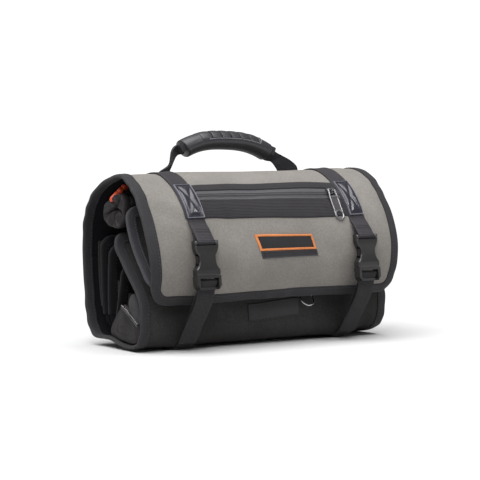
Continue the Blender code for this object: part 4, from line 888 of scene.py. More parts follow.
def lower_path():
    """Lower strap: up behind the plug's lip, over its bar and down again between the lip and itself."""
    start = WRAP.off(FRONT_FOLD - 0.001, STRAP_OUT)
    behind, past = in_buckle(0.0053, -0.0170), in_buckle(0.0030, -0.0165)
    top = on_bar(LADDER, touch(LADDER, behind))
    rise = rounded([start, *shares((-0.560, 0.060), (-0.700, 0.190), (-0.850, 0.310)), behind, top], 8)
    hang = shares((-0.925, 0.265), (-0.800, 0.150), (-0.680, 0.045))
    tail = rounded([past, in_buckle(0.0030, -0.0200), *hang], 8)
    return np.vstack([resample(rise, 0.0024)[:-1], over_bar(LADDER, behind, past, 26), resample(tail)[1:]])


def knob(name, x, y, z, radius=0.0026):
    """Rounded end of a buckle's bar."""
    level = np.linspace(-0.94, 0.94, 9)[:, None]
    r, a = radius * np.sqrt(1 - level ** 2), angles(16)
    return loft(name, stacked(x + radius * level, y + r * np.cos(a), z + r * np.sin(a)), [KNOB])


LOW_PATH = lower_path()
peak = int(np.argmax(LOW_PATH[:, 1]))
fallen = np.where(np.arange(len(LOW_PATH)) > peak, LOW_PATH[peak, 1] - LOW_PATH[:, 1], 0.0)
LOW_SWAY = 0.0022 * np.sin(np.linspace(0, 5.0, len(LOW_PATH))) * np.linspace(0, 1, len(LOW_PATH))
LOW_SWAY = LOW_SWAY - 0.0105 * ramp(fallen, 0.008, 0.085)
CROSS_INSET = 0.0021
for word, side in SIDES.items():
    x = side * STRAP_X
    leave, path = upper_path(x)
    rings = np.concatenate([on_wrap_rings(x, np.arange(BACK_MID, leave, 0.003)), free_rings(x, path)])
    upper = dress(loft("strap_upper_" + word, rings, [STRAP]), "back_cover", "webbing", "back_strap_" + word,
                  "upper_strap_" + word)
    base = loft("strap_base_" + word, on_wrap_rings(x, np.arange(BASE_MID, BACK_MID + 0.001, 0.003)), [STRAP])
    dress(base, "base_back", "webbing", "base_strap_" + word)
    rings = np.concatenate([on_wrap_rings(x, np.arange(FRONT_FOLD, BASE_MID + 0.001, 0.003)[::-1]),
                            free_rings(x, LOW_PATH, LOW_SWAY)])
    lower = dress(loft("strap_lower_" + word, rings, [TAIL]), "front_base", "webbing", "lower_strap_" + word)
    for edge in (-0.0103, 0.0103):
        wrap_row("back_cover", np.full(120, x + edge), np.linspace(BACK_MID, leave, 120), STACK, pitch=0.0036,
                 length=0.0024, width=0.0007)
    for share in (0.17, 0.21):
        k = int(len(path) * share)
        t = unit(path[k + 1] - path[k])
        n = np.array([t[1], -t[0]])
        ends = np.array([(x + w, *(path[k] + n * 0.001)) for w in (-0.0112, 0.0112)])
        row("cover", ends, np.array([(0, *n)] * 2), pitch=0.0028, length=0.0020, width=0.0012,
            thread=THREAD_BLACK)
    for letter, end_x in (("a", x - 0.0148), ("b", x + 0.0148)):
        dress(knob("buckle_knob_%s_%s" % (word, letter), end_x, *in_buckle(-0.0028, 0.0405)), "cover",
              "buckle_plastic")

    # Vinyl patch with its crossed stitches
    s0, s1 = PATCH_TOP, BAND_END - GAP
    x0, x1 = x + STRAP_HALF - 0.0225, x + STRAP_HALF
    half_x, half_s = (x1 - x0) / 2 - CROSS_INSET, (s1 - s0) / 2 - CROSS_INSET

    def crossed(xx, ss):
        u, v = (xx - (x0 + x1) / 2) / half_x, (ss - (s0 + s1) / 2) / half_s
        near = np.minimum(np.abs(u - v), np.abs(u + v))
        rim_near = np.minimum(1 - np.abs(u), 1 - np.abs(v))
        return 0.0011 * ramp(np.minimum(near * 0.9, rim_near * 2.2), 0.0, 0.45)

    area = (x0, x1, s0, s1)
    patch = pad_on("vinyl_patch_" + word, *area, STACK + GAP, 0.0012, VINYL, edge=0.0008, step=0.0011,
                   corner=0.002, extra=crossed)
    dress(patch, "cover", "vinyl", "strap_patch_" + word)
    dress(frame_on("vinyl_rim_" + word, *shrunk(*area, -0.0001), 0.0010, STACK, 0.0020, VINYL_EDGE), "cover",
          "vinyl")
    x0, x1, s0, s1 = shrunk(*area, CROSS_INSET)
    corners = [(x0, s0), (x1, s0), (x1, s1), (x0, s1)]
    for a, b in ((0, 1), (1, 2), (2, 3), (3, 0), (0, 2), (1, 3)):
        wrap_row("cover", *line(corners[a], corners[b]), STACK + GAP + 0.0013, pitch=0.0027, length=0.0020,
                 width=0.0010, thread=THREAD_VINYL)

# Handle
MARK = WRAP.find(0, 0.470 * BACK_DEPTH, TOP_FOLD, RIDGE)
FOOT_THICK = 0.0026
FOOT_GAP = 0.0006
TIP_HALF = 0.0025
AXIS_Y = WRAP.off(MARK, GAP + FOOT_THICK + FOOT_GAP + TIP_HALF)[0]
GRIP_HALF = 0.066
GRIP_SAG = 0.0137
GRIP_POWER = 2.6
HAND_ROOM = 0.0265
GRIP_THICK = 0.0255
CROWN = 0.225 + HAND_ROOM + GRIP_THICK / 2
GRIP_LEAN = -0.036


def grip_level(x):
    return CROWN - GRIP_SAG * np.abs(x / GRIP_HALF) ** GRIP_POWER + GRIP_LEAN * x


def grip_slope(x):
    steep = GRIP_POWER * GRIP_SAG / GRIP_HALF * abs(x / GRIP_HALF) ** (GRIP_POWER - 1)
    return math.atan(-math.copysign(steep, x) + GRIP_LEAN)


def evenly(points, count):
    """A rounded curve through points, at evenly spaced places."""
    curve = resample(rounded(points, 8), 0.0006)
    return curve[np.linspace(0, len(curve) - 1, count).round().astype(int)]


def ribbon(name, edge_a, edge_b, thick, count=34):
    """Webbing between two edge curves."""
    a, b = evenly(edge_a, count), evenly(edge_b, count)
    middle, wide = (a + b) / 2, (b - a) / 2
    n = unit(np.cross(np.gradient(middle, axis=0), wide))
    rings = [middle + wide * (dx / STRAP_HALF) + n * dn * thick for dx, dn in STRAP_SECTION]
    return dress(loft(name, np.stack(rings, 1), [STRAP]), "handle", "webbing")


# Edges of the webbing at each end of the handle, as places along, depth from the swing's axis and heights
HANDLE_EDGES = {
    "left": ([(-0.056, 0.000, 0.2618), (-0.0709, 0.000, 0.2606), (-0.0802, -0.002, 0.2567),
              (-0.0851, -0.003, 0.2501), (-0.0861, -0.003, 0.2403), (-0.0871, -0.002, 0.2322),
              (-0.0940, -0.001, 0.2280), (-0.1020, 0.000, 0.2238), (-0.1070, 0.000, 0.2190)],
             [(-0.054, 0.003, 0.2480), (-0.0672, 0.004, 0.2467), (-0.0729, 0.005, 0.2452),
              (-0.0779, 0.004, 0.2376), (-0.0822, 0.002, 0.2311), (-0.0841, 0.001, 0.2280),
              (-0.0858, 0.001, 0.2240), (-0.0875, 0.001, 0.2190)]),
    "right": ([(0.054, 0.000, 0.2588), (0.0711, 0.000, 0.2543), (0.0793, -0.001, 0.2499),
               (0.0858, -0.002, 0.2462), (0.0966, -0.002, 0.2416), (0.1065, -0.001, 0.2370),
               (0.1145, 0.000, 0.2318), (0.1185, 0.000, 0.2270), (0.1190, 0.000, 0.2190)],
              [(0.051, 0.003, 0.2435), (0.0644, 0.004, 0.2377), (0.0709, 0.004, 0.2363),
               (0.0757, 0.003, 0.2360), (0.0789, 0.001, 0.2322), (0.0825, 0.001, 0.2275),
               (0.0855, 0.001, 0.2235), (0.0880, 0.001, 0.2190)]),
}
for word, side in SIDES.items():
    high_edge, low_edge = (np.array(edge) + Y_WAY * AXIS_Y for edge in HANDLE_EDGES[word])
    webbing = ribbon("handle_end_" + word, high_edge, low_edge, 0.0026)
    if side > 0:
        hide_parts("handle_webbing")
    along, level = np.array([0.058, 0.068, 0.0745]), grip_level(side * 0.066) + np.array([0.0, 0.0, -0.0035])
    ribbon("handle_cuff_" + word, stacked(side * along, AXIS_Y - 0.0105, level + 0.0045),
           stacked(side * along - side * 0.002, AXIS_Y + 0.0100, level + 0.0010), 0.0110, 12)

    def hump(xx, ss):
        return 0.0026 * bump(ss, MARK, 0.0035) * bump(xx, side * 0.098, 0.014)

    patch = (*sorted((side * 0.0865, side * 0.1165)), MARK - STRAP_HALF, MARK + STRAP_HALF)
    foot = pad_on("handle_base_" + word, *patch, 0.0001, 0.0024, STRAP, edge=0.001, step=0.0022, extra=hump)
    dress(foot, "cover", "webbing", "handle_foot_" + word)
    outline_rows("cover", *patch, 0.0022, 0.0026)

RIB_PITCH = 0.0144
RIB_START = 0.0018
PANEL_FROM, PANEL_TO = -0.0330, 0.0462
PANEL_SIDE = 0.22


def on_grip(x, turn, lift=0.0):
    """Points on the grip's plain skin."""
    slope = grip_slope(x)
    y = (0.0155 + lift) * np.cos(turn)
    z = (0.0124 + lift) * np.sin(turn)
    return np.stack([x - math.sin(slope) * z, AXIS_Y + y, grip_level(x) + math.cos(slope) * z], -1)


def grip():
    """Rubber grip with swells over its top, grooves between them with painted shade in their bottoms, and
    collared ends.
    """
    collar = GRIP_HALF - 0.006
    xs = np.concatenate([np.linspace(-GRIP_HALF, -collar, 9)[:-1], np.linspace(-collar, collar, 300),
                         np.linspace(collar, GRIP_HALF, 9)[1:]])
    turns = angles(96)
    on_top = ramp(np.sin(turns), PANEL_SIDE, PANEL_SIDE + 0.10)
    rings, slots = [], []
    for x in xs:
        near = GRIP_HALF - abs(x)
        lip = math.sqrt(max(0.0, 1 - (1 - min(1.0, near / 0.0022)) ** 2))
        phase = abs(((x - RIB_START) / RIB_PITCH) % 1.0 - 0.5) * 2
        ribbed = float(PANEL_FROM < x < PANEL_TO)
        humped = float(PANEL_FROM - 0.010 < x < PANEL_TO)
        swell = 0.0009 * math.sqrt(1 - phase ** 2) * humped - 0.0016 * ramp(phase, 0.90, 0.99) * ribbed
        rings.append(on_grip(x, turns, 0.0022 * (lip - 1) + swell * on_top))
        # Groove bottoms on the ribbed top get the darker rubber: painted shade.
        slots.append(np.where(np.sin(turns) < -0.22, 2, (phase > 0.93) * ribbed * (on_top > 0.5)))
    piece = loft("grip_rubber", rings, [RUBBER, RUBBER_GROOVE_SHADE, RUBBER_UNDER])
    index = np.append(np.array(slots[:-1]).ravel(), [0, 0]).astype(np.int32)
    piece.data.polygons.foreach_set("material_index", index)
    return piece


def grip_line():
    """Fine raised line round the ribbed top."""
    side = math.asin(PANEL_SIDE)
    marks = np.linspace(PANEL_FROM, PANEL_TO, 70)
    front = [on_grip(x, math.pi - side, 0.0003) for x in marks]
    over = [on_grip(PANEL_TO + 0.003 * math.sin(a), a, 0.0003) for a in np.linspace(math.pi - side, side, 18)]
    rear = [on_grip(x, side, 0.0003) for x in marks[::-1]]
    path = np.array(front + over[1:-1] + rear)
    return tube("grip_line", path, (0.0006, 0.0006), RUBBER_LINE, False, 8, (0.3, 0.5, 1.0))


dress(grip(), "handle", "grip_rubber", "handle_grip")
dress(grip_line(), "handle", "grip_rubber")


# Inside: flap, pages, pouches
def inner_swell(x, s):
    return 0.0011 * np.sin(x * 26 + s * 20) + 0.0008 * np.sin(x * 61 - s * 33)


INNER = Profile(rounded(shares((-0.060, 0.800), (-0.085, 0.720), (-0.215, 0.590), (-0.430, 0.475),
                               (-0.650, 0.360))), inner_swell)
INNER_HALF = HALF - 0.004
INNER_END = INNER.length - TUCK
s = np.linspace(TUCK, INNER_END, max(6, int(INNER.length / 0.004)))
wide = np.minimum(drawn_half(s, INNER_HALF - TUCK, INNER_END, 0.016),
                  drawn_half(s, INNER_HALF - TUCK, TUCK, 0.016, -1.0))
inner = dress(two_faced("flap_inside", s, wide, [DARK, INSIDE_CLOTH], INNER), "inner_flap", "dark_canvas",
              "inner_flap")
half_way = edge_path(INNER.length / 2, INNER.length, INNER_HALF, 0.016)[:-1]
edged("tape_inside", np.vstack([half_way, (0, INNER.length, 0, 0) - half_way]), "inner_flap",
      ["inner_flap_edging"], INNER, material=TAPE_FLAP, closed=True, thread=THREAD_LIGHT, pitch=0.0038,
      length=0.0024, width=0.0009)
ROOT = height_mark(0.985)
strip_path = rounded([WRAP.off(ROOT, 0.0002 - CLOTH), INNER.off(0.0, 0.005),
                      INNER.off(TAPE_WIDTH, 0.0026)], 8)
strip_t = heading(strip_path)
xs = np.linspace(-INNER_HALF + 0.036, INNER_HALF - 0.036, 61)
dip = relief(xs, ROOT) * np.linspace(1, 0, len(strip_path))[:, None]
root_ny, root_nz = WRAP.at(ROOT)[2:]
grid = stacked(xs, strip_path[:, :1] + root_ny * dip, strip_path[:, 1:] + root_nz * dip)
rear = grid + stacked(0.0, -strip_t[:, 1:], strip_t[:, :1]) * WEBBING
dress(slab("strip_inside", grid, rear, grid[..., [0, 2]], [STRAP]), "inner_flap", "webbing",
      "inner_flap_strip")

PAGE_SHARES = [
    [(0.0, 0.062), (0.120, 0.224), (0.170, 0.448), (0.150, 0.605)],
    [(0.0, 0.062), (0.040, 0.224), (0.055, 0.430), (0.030, 0.565)],
    [(0.0, 0.062), (-0.100, 0.200), (-0.185, 0.360), (-0.215, 0.460)],
]
PAGE_THICK = 0.0055
PAGE_HALF = HALF - 0.010
PAGE_FOOT = 0.034
POCKET_REACH = PAGE_HALF - 0.0115
POCKET_LOW = 0.0085
POCKET_WIDTH = 0.042


def page_profile(index):
    """Middle of a page's cloth, from the floor up."""
    def swell(x, s):
        return 0.0009 * np.sin(x * (23 + 5 * index) + s * 31) + 0.0007 * np.sin(x * 57 - s * 44 + index)

    y = 0.5 * BACK_DEPTH - index * 0.0085
    floor = WRAP.at(WRAP.find(0, y + PAGE_THICK / 2, FRONT_FOLD, BACK_FOLD))
    foot = np.array([y, floor[1] - floor[3] * (CLOTH + 0.0014) + GAP])
    return Profile(rounded([foot] + [p + (y, 0) for p in shares(*PAGE_SHARES[index])], 10), swell)


def page_faces(x, s):
    edge = np.minimum(np.minimum(PAGE_HALF - np.abs(x), length - s), s + 0.004)
    puff = 0.0006 * ramp(edge, 0.010, 0.022) * (1 + 0.35 * np.sin(x * 71) * np.sin(s * 83))
    thick = PAGE_THICK / 2 - 0.0012 * (1 - ramp(edge, 0.0, 0.010)) + puff - 0.0006
    thick = thick * (0.35 + 0.65 * ramp(s, 0.0, 0.018))
    return thick, -thick


def pleats(x, s):
    return 0.0014 * np.abs(np.sin(x * math.pi / POCKET_WIDTH)) ** 0.6


for index in range(3):
    body = "page_%d" % (index + 1)
    profile = page_profile(index)
    length = profile.length + 0.004
    s = np.linspace(0.0, length - TUCK, int(length / 0.004))
    wide = np.minimum(drawn_half(s, PAGE_HALF - TUCK, length - TUCK, 0.016),
                      drawn_half(s, PAGE_HALF - TUCK, 0.0, PAGE_FOOT, -1.0))
    page = two_faced(body + "_pad", s, wide, [INSIDE_CLOTH], profile, page_faces)
    dress(page, body, "dark_canvas", body)
    section = tape_section(0.011, PAGE_THICK - 0.0024, 0.0010) + (0, PAGE_THICK / 2 - 0.0012)
    outs = (PAGE_THICK / 2 - 0.0002, 0.0002 - PAGE_THICK / 2)
    # The pages' tape and its stitches are darker copies of the outer ones: painted shade inside the roll.
    edged(body + "_tape", edge_path(PAGE_FOOT, length, PAGE_HALF, 0.016), body, (), profile, section,
          TAPE_SHADED, inset=0.009, outs=outs, thread=THREAD_DIM)
    end = POCKET_LOW + length * 0.55
    flip = profile.flipped()
    pockets = pad_on(body + "_tool_pockets", -POCKET_REACH, POCKET_REACH, POCKET_LOW, end,
                     PAGE_THICK / 2 - 0.0004, 0.0017, DARK, profile=flip, step=0.0042, extra=pleats)
    dress(pockets, body, "webbing", body + "_pockets")
    for k in range(-3, 5):
        seam_x = POCKET_WIDTH * k
        wrap_row(body, *line((seam_x, POCKET_LOW), (seam_x, end)), PAGE_THICK / 2 + 0.0013, flip)


def evaluated(piece):
    return piece.evaluated_get(bpy.context.evaluated_depsgraph_get())


def applied(piece):
    """A piece's mesh, with its modifiers made part of it."""
    materials = list(piece.data.materials)
    mesh = bpy.data.meshes.new_from_object(evaluated(piece))
    piece.modifiers.clear()
    mesh.materials.clear()
    for m in materials:
        mesh.materials.append(m)
    piece.data = mesh
    return mesh


def read_points(mesh, what="co"):
    values = np.zeros(len(mesh.vertices) * 3)
    mesh.vertices.foreach_get(what, values)
    return values.reshape(-1, 3)


def inflate(piece, voxel, pins=None):
    """Swell a closed fabric piece under air pressure, with its moves capped."""
    bpy.context.view_layer.objects.active = piece
    change = piece.modifiers.new("even", "REMESH")
    change.mode = "VOXEL"
    change.voxel_size = voxel
    solid = applied(piece)
    rest = read_points(solid)
    settings = piece.modifiers.new("cloth", "CLOTH").settings
    settings.use_pressure = True
    settings.uniform_pressure_force = 4.0
    settings.effector_weights.gravity = 0
    settings.quality = 6
    if pins is not None:
        group = piece.vertex_groups.new(name="held")
        for i in np.nonzero(pins(rest))[0]:
            group.add([int(i)], 1.0, "REPLACE")
        settings.vertex_group_mass = "held"
    scene = bpy.context.scene
    for f in range(1, 21):
        scene.frame_set(f)
    moved = read_points(evaluated(piece).to_mesh()) - rest
    evaluated(piece).to_mesh_clear()
    piece.modifiers.clear()
    scene.frame_set(1)
    size = np.linalg.norm(moved, axis=1)[:, None] + 1e-12
    solid.vertices.foreach_set("co", (rest + moved * np.minimum(1.0, 0.0045 / size)).ravel())
    solid.update()
    piece.vertex_groups.clear()


def settle(piece, change):
    """Move a piece's points by a function of where they are, then smooth it by one level."""
    mesh = piece.data
    mesh.vertices.foreach_set("co", change(read_points(mesh), read_points(mesh, "normal")).ravel())
    mesh.update()
    finer = piece.modifiers.new("smooth", "SUBSURF")
    finer.levels = finer.render_levels = 1
    mesh = applied(piece)
    mesh.polygons.foreach_set("use_smooth", [True] * len(mesh.polygons))


POUCH = shares((0.200, 0.030), (0.010, 0.235), (-0.090, 0.240), (-0.365, 0.125), (-0.365, 0.050),
               (-0.290, 0.030))
FLOOR = STACK + CLOTH + 0.0021
POUCH[0][1] = POUCH[-1][1] = FLOOR
slope_a, slope_b = POUCH[2], POUCH[3]
down = unit(slope_b - slope_a)
face = np.array([down[1], -down[0]])
ring = np.vstack([resample(np.array([a, b]), 0.004)[:-1] for a, b in zip(POUCH, POUCH[1:] + POUCH[:1])])
middle = ring.mean(0)
ring = middle + (ring - middle) * 0.965
pouch = loft("pouch_base", [stacked(x, *ring.T) for x in np.linspace(-0.1865, 0.1865, 40)], [POUCH_CLOTH])


def on_slope(co):
    flat = co[:, 1:] - (slope_a + slope_b) / 2
    return (np.abs(flat @ face) < 0.004) & (np.abs(flat @ down) < 0.0125)


def pouch_wrinkles(co, no):
    x, y, z = co.T
    end = ramp(np.abs(x), 0.120, 0.183)
    dent = 0.0010 * np.sin(x * 90 + z * 60) + 0.0011 * np.sin(y * 210 + x * 45) * (0.4 + end)
    free = 1 - on_slope(co) * 0.9
    moved = co + no * (dent * ramp(z, 0.006, 0.014) * free)[:, None]
    moved[:, 2] = np.maximum(moved[:, 2], FLOOR)
    moved[:, 0] = np.clip(moved[:, 0], -0.1895, 0.1895)
    return moved


inflate(pouch, 0.0045, on_slope)
settle(pouch, pouch_wrinkles)
dress(pouch, "base", "dark_canvas", "base_pouch")
SLOPE = Profile(slope_a + (slope_b - slope_a) * np.linspace(0, 1, 9)[:, None])
zip_run("pouch_zip", 0.174, SLOPE.length / 2, 0.024, SLOPE, "base", "base_pouch_zip")
for mark in (SLOPE.length / 2 - 0.009, SLOPE.length / 2 + 0.009):
    wrap_row("base", *line((-0.174, mark), (0.174, mark), 90), 0.0012, SLOPE)


# The pouch's soft ends spread over the pages' ends, with the zip running down them
GUSSET = closed_curve([(0.030, 0.0135), (0.037, 0.0240), (0.004, 0.0580), (-0.008, 0.0580), (-0.040, 0.0350),
                       (-0.041, 0.0085), (-0.010, 0.0095)])
GUSSET_LEVELS = [(0.90, 0.0), (0.98, 0.0006), (1.0, 0.0018), (0.98, 0.0032), (0.92, 0.0043), (0.80, 0.0052),
                 (0.64, 0.0057), (0.46, 0.0060), (0.28, 0.0062), (0.10, 0.0062)]
TAB = closed_curve([(-0.0400, 0.0300), (-0.0190, 0.0480), (-0.0120, 0.0600), (-0.0200, 0.0730),
                    (-0.0330, 0.0720), (-0.0420, 0.0520)])
TAB_LEVELS = [(0.92, 0.0), (1.0, 0.0012), (1.0, 0.0026), (0.92, 0.0036), (0.5, 0.0039), (0.1, 0.0039)]
run = resample(rounded([(0.0010, 0.0585), (-0.012, 0.0545), (-0.0410, 0.0365)], 10), 0.0015)
t = heading(run)
n = np.stack([-t[:, 1], t[:, 0]], 1)
n *= np.sign(n[:, 1:2])


def domed(name, side, outline, foot, levels, material, wrinkle=0.0):
    """Soft cushion over an outline at an end of the roll, as shares of it and how far out each lies."""
    middle = outline.mean(0)
    rings = []
    for share, out in levels:
        ring = middle + (outline - middle) * share
        soft = wrinkle * np.sin(ring[:, 0] * 170 + ring[:, 1] * 60) * (share < 0.95)
        rings.append(stacked(side * (foot + out + soft), *ring.T))
    return dress(loft(name, rings, [material]), "base", "dark_canvas")


for word, side in SIDES.items():
    domed("pouch_gusset_" + word, side, GUSSET, 0.1832, GUSSET_LEVELS, POUCH_CLOTH, 0.0006)
    # The outer row of teeth gets the brighter nickel: a painted glint along the zip's edge.
    for inset, thread in ((0.0016, BRIGHT_NICKEL), (0.0046, NICKEL)):
        teeth = stacked(side * 0.1888, *(run - n * inset).T)
        row("base", teeth, np.broadcast_to(X_WAY * side, teeth.shape), pitch=0.0021, length=0.0013,
            width=0.0026, height=0.0016, thread=thread)
    domed("pouch_tab_" + word, side, TAB, 0.1836, TAB_LEVELS, TAPE)

# The pouch under the top fold, gathered at its ends
seam = [WRAP.find(0, v * BACK_DEPTH, TOP_FOLD, RIDGE) for v in (0.350, 0.150)]
under = [WRAP.off(m, -CLOTH - 0.0004) for m in np.linspace(*seam, 8)]
hang = shares((0.095, 0.930), (0.055, 0.800), (0.080, 0.705), (0.220, 0.680), (0.400, 0.705), (0.455, 0.800),
              (0.420, 0.900))
ring = rounded([under[0]] + under + hang + [under[0]], 5)[:-1]
MIDDLE = shares((0.205, 0.775))[0]
TOP_HALF = 0.176
TAPER = 0.040
BUNCH = closed_curve([(0.052, 0.166), (0.053, 0.179), (0.040, 0.188), (0.026, 0.194), (0.010, 0.199),
                      (-0.003, 0.192), (-0.006, 0.176), (0.000, 0.160), (0.012, 0.152), (0.030, 0.154),
                      (0.044, 0.158)])
BUNCH_MIDDLE = np.array([0.0235, 0.1765])
STAR = np.array([0.0165, 0.1790])
away = BUNCH - BUNCH_MIDDLE
bunch_turn, bunch_reach = np.arctan2(away[:, 1], away[:, 0]), np.hypot(away[:, 1], away[:, 0])


def end_point(turn, share=1.0):
    """Places on the gathered end's rim, or drawn in towards its star."""
    reach = np.interp(turn, bunch_turn, bunch_reach, period=TURN) * share
    middle = BUNCH_MIDDLE * share + STAR * (1 - share)
    return np.stack([middle[0] + reach * np.cos(turn), middle[1] + reach * np.sin(turn)], -1)


plain = MIDDLE + (ring - MIDDLE) * 0.955
rim = end_point(np.arctan2(ring[:, 1] - MIDDLE[1], ring[:, 0] - MIDDLE[0]))
rings = []
for x in (-TOP_HALF, *np.linspace(-TOP_HALF + 0.002, TOP_HALF - 0.002, 60), TOP_HALF):
    drawn = ramp(abs(x), TOP_HALF - TAPER, TOP_HALF - 0.006)
    rings.append(stacked(x, *(plain * (1 - drawn) + rim * drawn).T))
gather = loft("pouch_top", rings, [POUCH_CLOTH])


def slack(co, no):
    """Loose swells along the run."""
    x, y, z = co.T
    turn = np.arctan2(z - MIDDLE[1], y - MIDDLE[0])
    swell = 0.0013 * np.sin(turn * 5 + x * 34) + 0.0010 * np.sin(x * 120 + turn * 4)
    return co + no * (swell * (1 - ramp(z, 0.206, 0.216)))[:, None]


def gathered(piece, *nodes):
    """Let a part of the gathered pouch hang from the cover, with a mesh of its own."""
    dress(piece, "cover", "dark_canvas", *nodes)
    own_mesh(piece)


inflate(gather, 0.0040)
settle(gather, slack)
gathered(gather, "top_pouch")
turn = angles(144, -math.pi)
RIM_DEPTHS = (0.0150, 0.0095, 0.0060, 0.0030, 0.0014)
END_SHARES = np.concatenate([[0.90, 0.98, 1.0, 0.985, 0.955], np.linspace(0.91, 0.04, 26)])
for word, side in SIDES.items():
    rings = []
    for level, share in enumerate(END_SHARES):
        rim = RIM_DEPTHS[level] if level < len(RIM_DEPTHS) else 0.0010 * share ** 6
        valley = (1 - np.abs(np.sin(2.5 * turn + 0.55 + 0.30 * np.sin(turn * 2 + 1.0))) ** 0.5) * (level > 2)
        depth = (0.0100 * math.exp(-(share / 0.20) ** 2) + 0.0085 * valley * (1 - share ** 2.5)
                 + 0.0006 * np.sin(turn * 9 + share * 8))
        rings.append(stacked(side * (0.1878 - rim - depth), *end_point(turn, share).T))
    gathered(loft("pouch_gather_" + word, rings, [POUCH_CLOTH]))

span = TOP_FOLD - BACK_FOLD
inside = WRAP.flipped()
pocket = (0.0225 - HALF, HALF - 0.0225, BACK_FOLD + 0.12 * span, BACK_FOLD + 0.62 * span)
back_pocket = pad_on("pocket_back", *pocket, CLOTH + 0.0002, 0.0016, DARK, profile=inside, step=0.006,
                     extra=lambda x, s: 0.0006 * np.sin(x * 40) * np.sin(s * 50))
dress(back_pocket, "back", "webbing", "back_pocket")
outline_rows("back", *pocket, 0.003, CLOTH + 0.0020, inside)


# Metal and moulded small parts
PULL_X = 0.0960
# Stacked heights of the zip, the slider and its fin, up to the pull's pivot
PULL_RISE = GAP + 0.0009 + 0.0018 + 0.0004 + 0.0012 + 0.0018 + 0.0006
PIVOT = np.array([PULL_X, *WRAP.off(ZIP_MID, PULL_RISE)])
along = unit(np.array([0.0, *(WRAP.off(ZIP_MID + 0.045, 0.0054) - PIVOT[1:])]))
thick = np.cross(along, X_WAY)
WIDE, LONG, HOLE, NECK = 0.0059, 0.0380, 0.0052, 0.0050


def put(points):
    """World points of the pull, from places across it, along it and off it."""
    return PIVOT + points @ np.array([X_WAY, along, thick])


def pull_edge(v):
    """Half width of the pull at a distance from its eye."""
    return NECK + (WIDE - NECK) * ramp(v, 0.002, 0.014)


down_it = np.linspace(0.0, LONG, 22)
left_side = stacked(-pull_edge(down_it), down_it, 0.0)
a = np.linspace(math.pi, 0, 21)[1:-1]
bottom = stacked(WIDE * np.cos(a), LONG + WIDE * np.sin(a), 0.0)
top_bar = stacked(np.linspace(NECK, -NECK, 8)[1:-1], -0.0008, 0.0)
rim_path = put(np.vstack([left_side, bottom, left_side[::-1] * (-1, 1, 1), top_bar]))
dress(tube("pull_rim", rim_path, (0.0015, 0.0011), NICKEL, True, 14, thick), "zip_pull", "nickel", "zip_pull")


def plate_between(name, top_edge, bottom_edge, thickness, material):
    """Thin plate across the pull, between two edges given by their place at each share of the width."""
    u, v = np.linspace(-1, 1, 17), np.linspace(0, 1, 18)[:, None]
    y = top_edge(u) * (1 - v) + bottom_edge(u) * v
    x = u * pull_edge(y)
    upper, lower = (put(stacked(x, y, z)) for z in (thickness, -thickness))
    dress(slab(name, upper, lower, stacked(x, y), [material]), "zip_pull", "nickel")


def round_top(u):
    return LONG - 0.0010 - np.sqrt(np.clip(HOLE ** 2 - (u * WIDE) ** 2, 0, None)) * 0.9


plate_between("pull_plate", lambda u: 0.0100 + 0 * u, lambda u: round_top(u) - 0.0006, 0.0006, DARK_NICKEL)
plate_between("pull_step", lambda u: 0.0090 + 0.0008 * u ** 2, lambda u: 0.0112 + 0.0008 * u ** 2, 0.0010,
              NICKEL)
plate_between("pull_brow", lambda u: round_top(u) - 0.0022, round_top, 0.0010, NICKEL)

TILT = -math.radians(35)
RING_RADIUS = 0.0100
centre = np.array([0.056, *WRAP.off(height_mark(0.268, 0.0, FRONT_FOLD), 0.0046)]) + (0, 0, 0.0012)
drop = RING_RADIUS * np.sin(angles(64)) - RING_RADIUS
circle = stacked(RING_RADIUS * np.cos(angles(64)), -drop * math.sin(TILT), drop * math.cos(TILT))
ring_piece = tube("ring_wire", centre + circle, (0.0012, 0.0012), BRIGHT_NICKEL, True, 12,
                  (0, math.cos(TILT), math.sin(TILT)))
dress(ring_piece, "tool_ring", "nickel", "tool_ring")

# Orange pull: distances down it and radii
BEADS = [(0.0, 0.0012), (0.005, 0.0014), (0.0102, 0.0016), (0.0110, 0.0034), (0.0124, 0.0042),
         (0.0150, 0.0044), (0.0160, 0.0037), (0.0170, 0.0037), (0.0180, 0.0044), (0.0230, 0.0044),
         (0.0240, 0.0037), (0.0250, 0.0037), (0.0260, 0.0044), (0.0320, 0.0042), (0.0365, 0.0037),
         (0.0390, 0.0026), (0.0400, 0.0010)]
HANG = math.radians(50)
top_at = place(0.0330 - HALF, height_mark(0.985, TOP_FOLD, RIDGE), -CLOTH - 0.0020)
way = np.array([-math.sin(HANG), 0.0, -math.cos(HANG)])
sideways = np.array([math.cos(HANG), 0.0, -math.sin(HANG)])
a = angles(24)[:, None]
around = np.cos(a) * sideways + np.sin(a) * Y_WAY
rings = [top_at + way * level + radius * around for level, radius in BEADS]
dress(loft("pull_orange", rings, [CORD]), "orange_pull", "orange_cord", "orange_pull")


# Nodes that stay, with softened edges and their own finish
def soften(name, material, width):
    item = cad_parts[name]
    item = bpy.data.objects[item] if isinstance(item, str) else item
    for slot in item.material_slots:
        slot.material = material
    change = item.modifiers.new("edges", "BEVEL")
    change.width = width
    change.segments = 3
    change.limit_method = "ANGLE"
    change.angle_limit = math.radians(35)
    change.harden_normals = False


for word in SIDES:
    soften("buckle_socket_" + word, ACETAL, 0.0007)
    soften("buckle_plug_" + word, ACETAL, 0.0006)
    for letter in "ab":
        soften("buckle_arm_%s_%s" % (word, letter), ACETAL, 0.0004)
soften("zip_slider", NICKEL, 0.0003)
soften("base_pouch_slider", NICKEL, 0.0003)
soften("ring_tab", STRAP, 0.0002)
sew()

# Stage, light and camera
floor_mesh = bpy.data.meshes.new("floor")
floor_mesh.from_pydata([(-9, -9, 0), (9, -9, 0), (9, 9, 0), (-9, 9, 0)], [], [(0, 1, 2, 3)])
floor_mesh.materials.append(moulded_material("floor_pale", (0.60, 0.60, 0.60), 0.9, 40, 0.0002, 0.01))
floor = link("floor", floor_mesh)

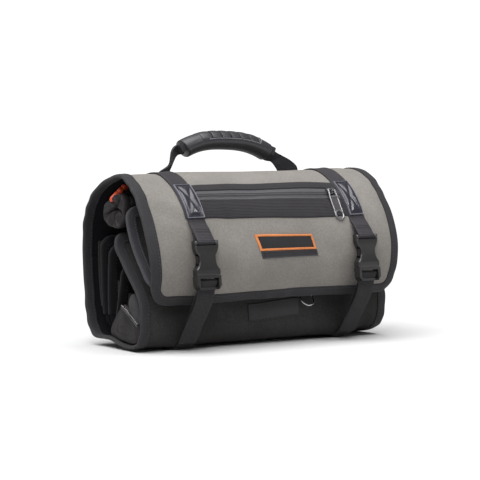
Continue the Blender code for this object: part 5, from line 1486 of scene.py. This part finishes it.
scene = bpy.context.scene
world = bpy.data.worlds.new("studio")
scene.world = world
world.use_nodes = True
tree = world.node_tree
soft_light = feed(tree, tree.nodes["Background"], {"Color": (0.97, 0.98, 1.0, 1), "Strength": 0.22})
backdrop = add(tree, "ShaderNodeBackground", {"Color": (1, 1, 1, 1), "Strength": 1.1})
seen = add(tree, "ShaderNodeLightPath", {})
either = add(tree, "ShaderNodeMixShader", {0: seen.outputs["Is Camera Ray"], 1: soft_light.outputs[0],
                                           2: backdrop.outputs[0]})
feed(tree, tree.nodes["World Output"], {"Surface": either.outputs[0]})

sun = bpy.data.lights.new("light_over", "SUN")
sun.energy = 5.0
sun.angle = math.radians(70)
link("light_over", sun).rotation_euler = Vector((-0.24, -0.05, 1.0)).to_track_quat("Z", "Y").to_euler()
# Lamps: name, place, target, size, power
for name, spot, target, size, power in (
        ("light_left", (-1.1, -1.5, 1.3), (-0.12, -0.05, 0.15), 0.35, 7.5),
        ("light_patch", (0.257, -0.367, 0.67), (-0.12, -0.07, 0.16), 0.12, 0.85),
        ("light_right", (1.1, -1.2, 0.03), (0.10, -0.10, 0.02), 0.4, 1.2)):
    lamp = bpy.data.lights.new(name, "AREA")
    lamp.shape = "RECTANGLE"
    lamp.size = lamp.size_y = size
    lamp.energy = power
    item = link(name, lamp)
    item.location = spot
    item.rotation_euler = (Vector(target) - Vector(spot)).to_track_quat("-Z", "Y").to_euler()

scene.view_settings.view_transform = "Standard"
azimuth, elevation, roll = math.radians(-32.998), math.radians(2.841), 0.0078
back = Vector((math.sin(azimuth) * math.cos(elevation), -math.cos(azimuth) * math.cos(elevation),
               math.sin(elevation)))
right = Vector((math.cos(azimuth), math.sin(azimuth), 0.0))
up = right.cross(-back)
right, up = right * math.cos(roll) - up * math.sin(roll), up * math.cos(roll) + right * math.sin(roll)
lens = bpy.data.cameras.new("camera")
lens.lens, lens.sensor_width = 129.6, 36.0
camera = link("camera", lens)
view = Matrix((right, up, back)).transposed().to_4x4()
view.translation = Vector((-0.0159, -0.0085, 0.1338)) + back * 2.2601
camera.matrix_world = view
scene.camera = camera
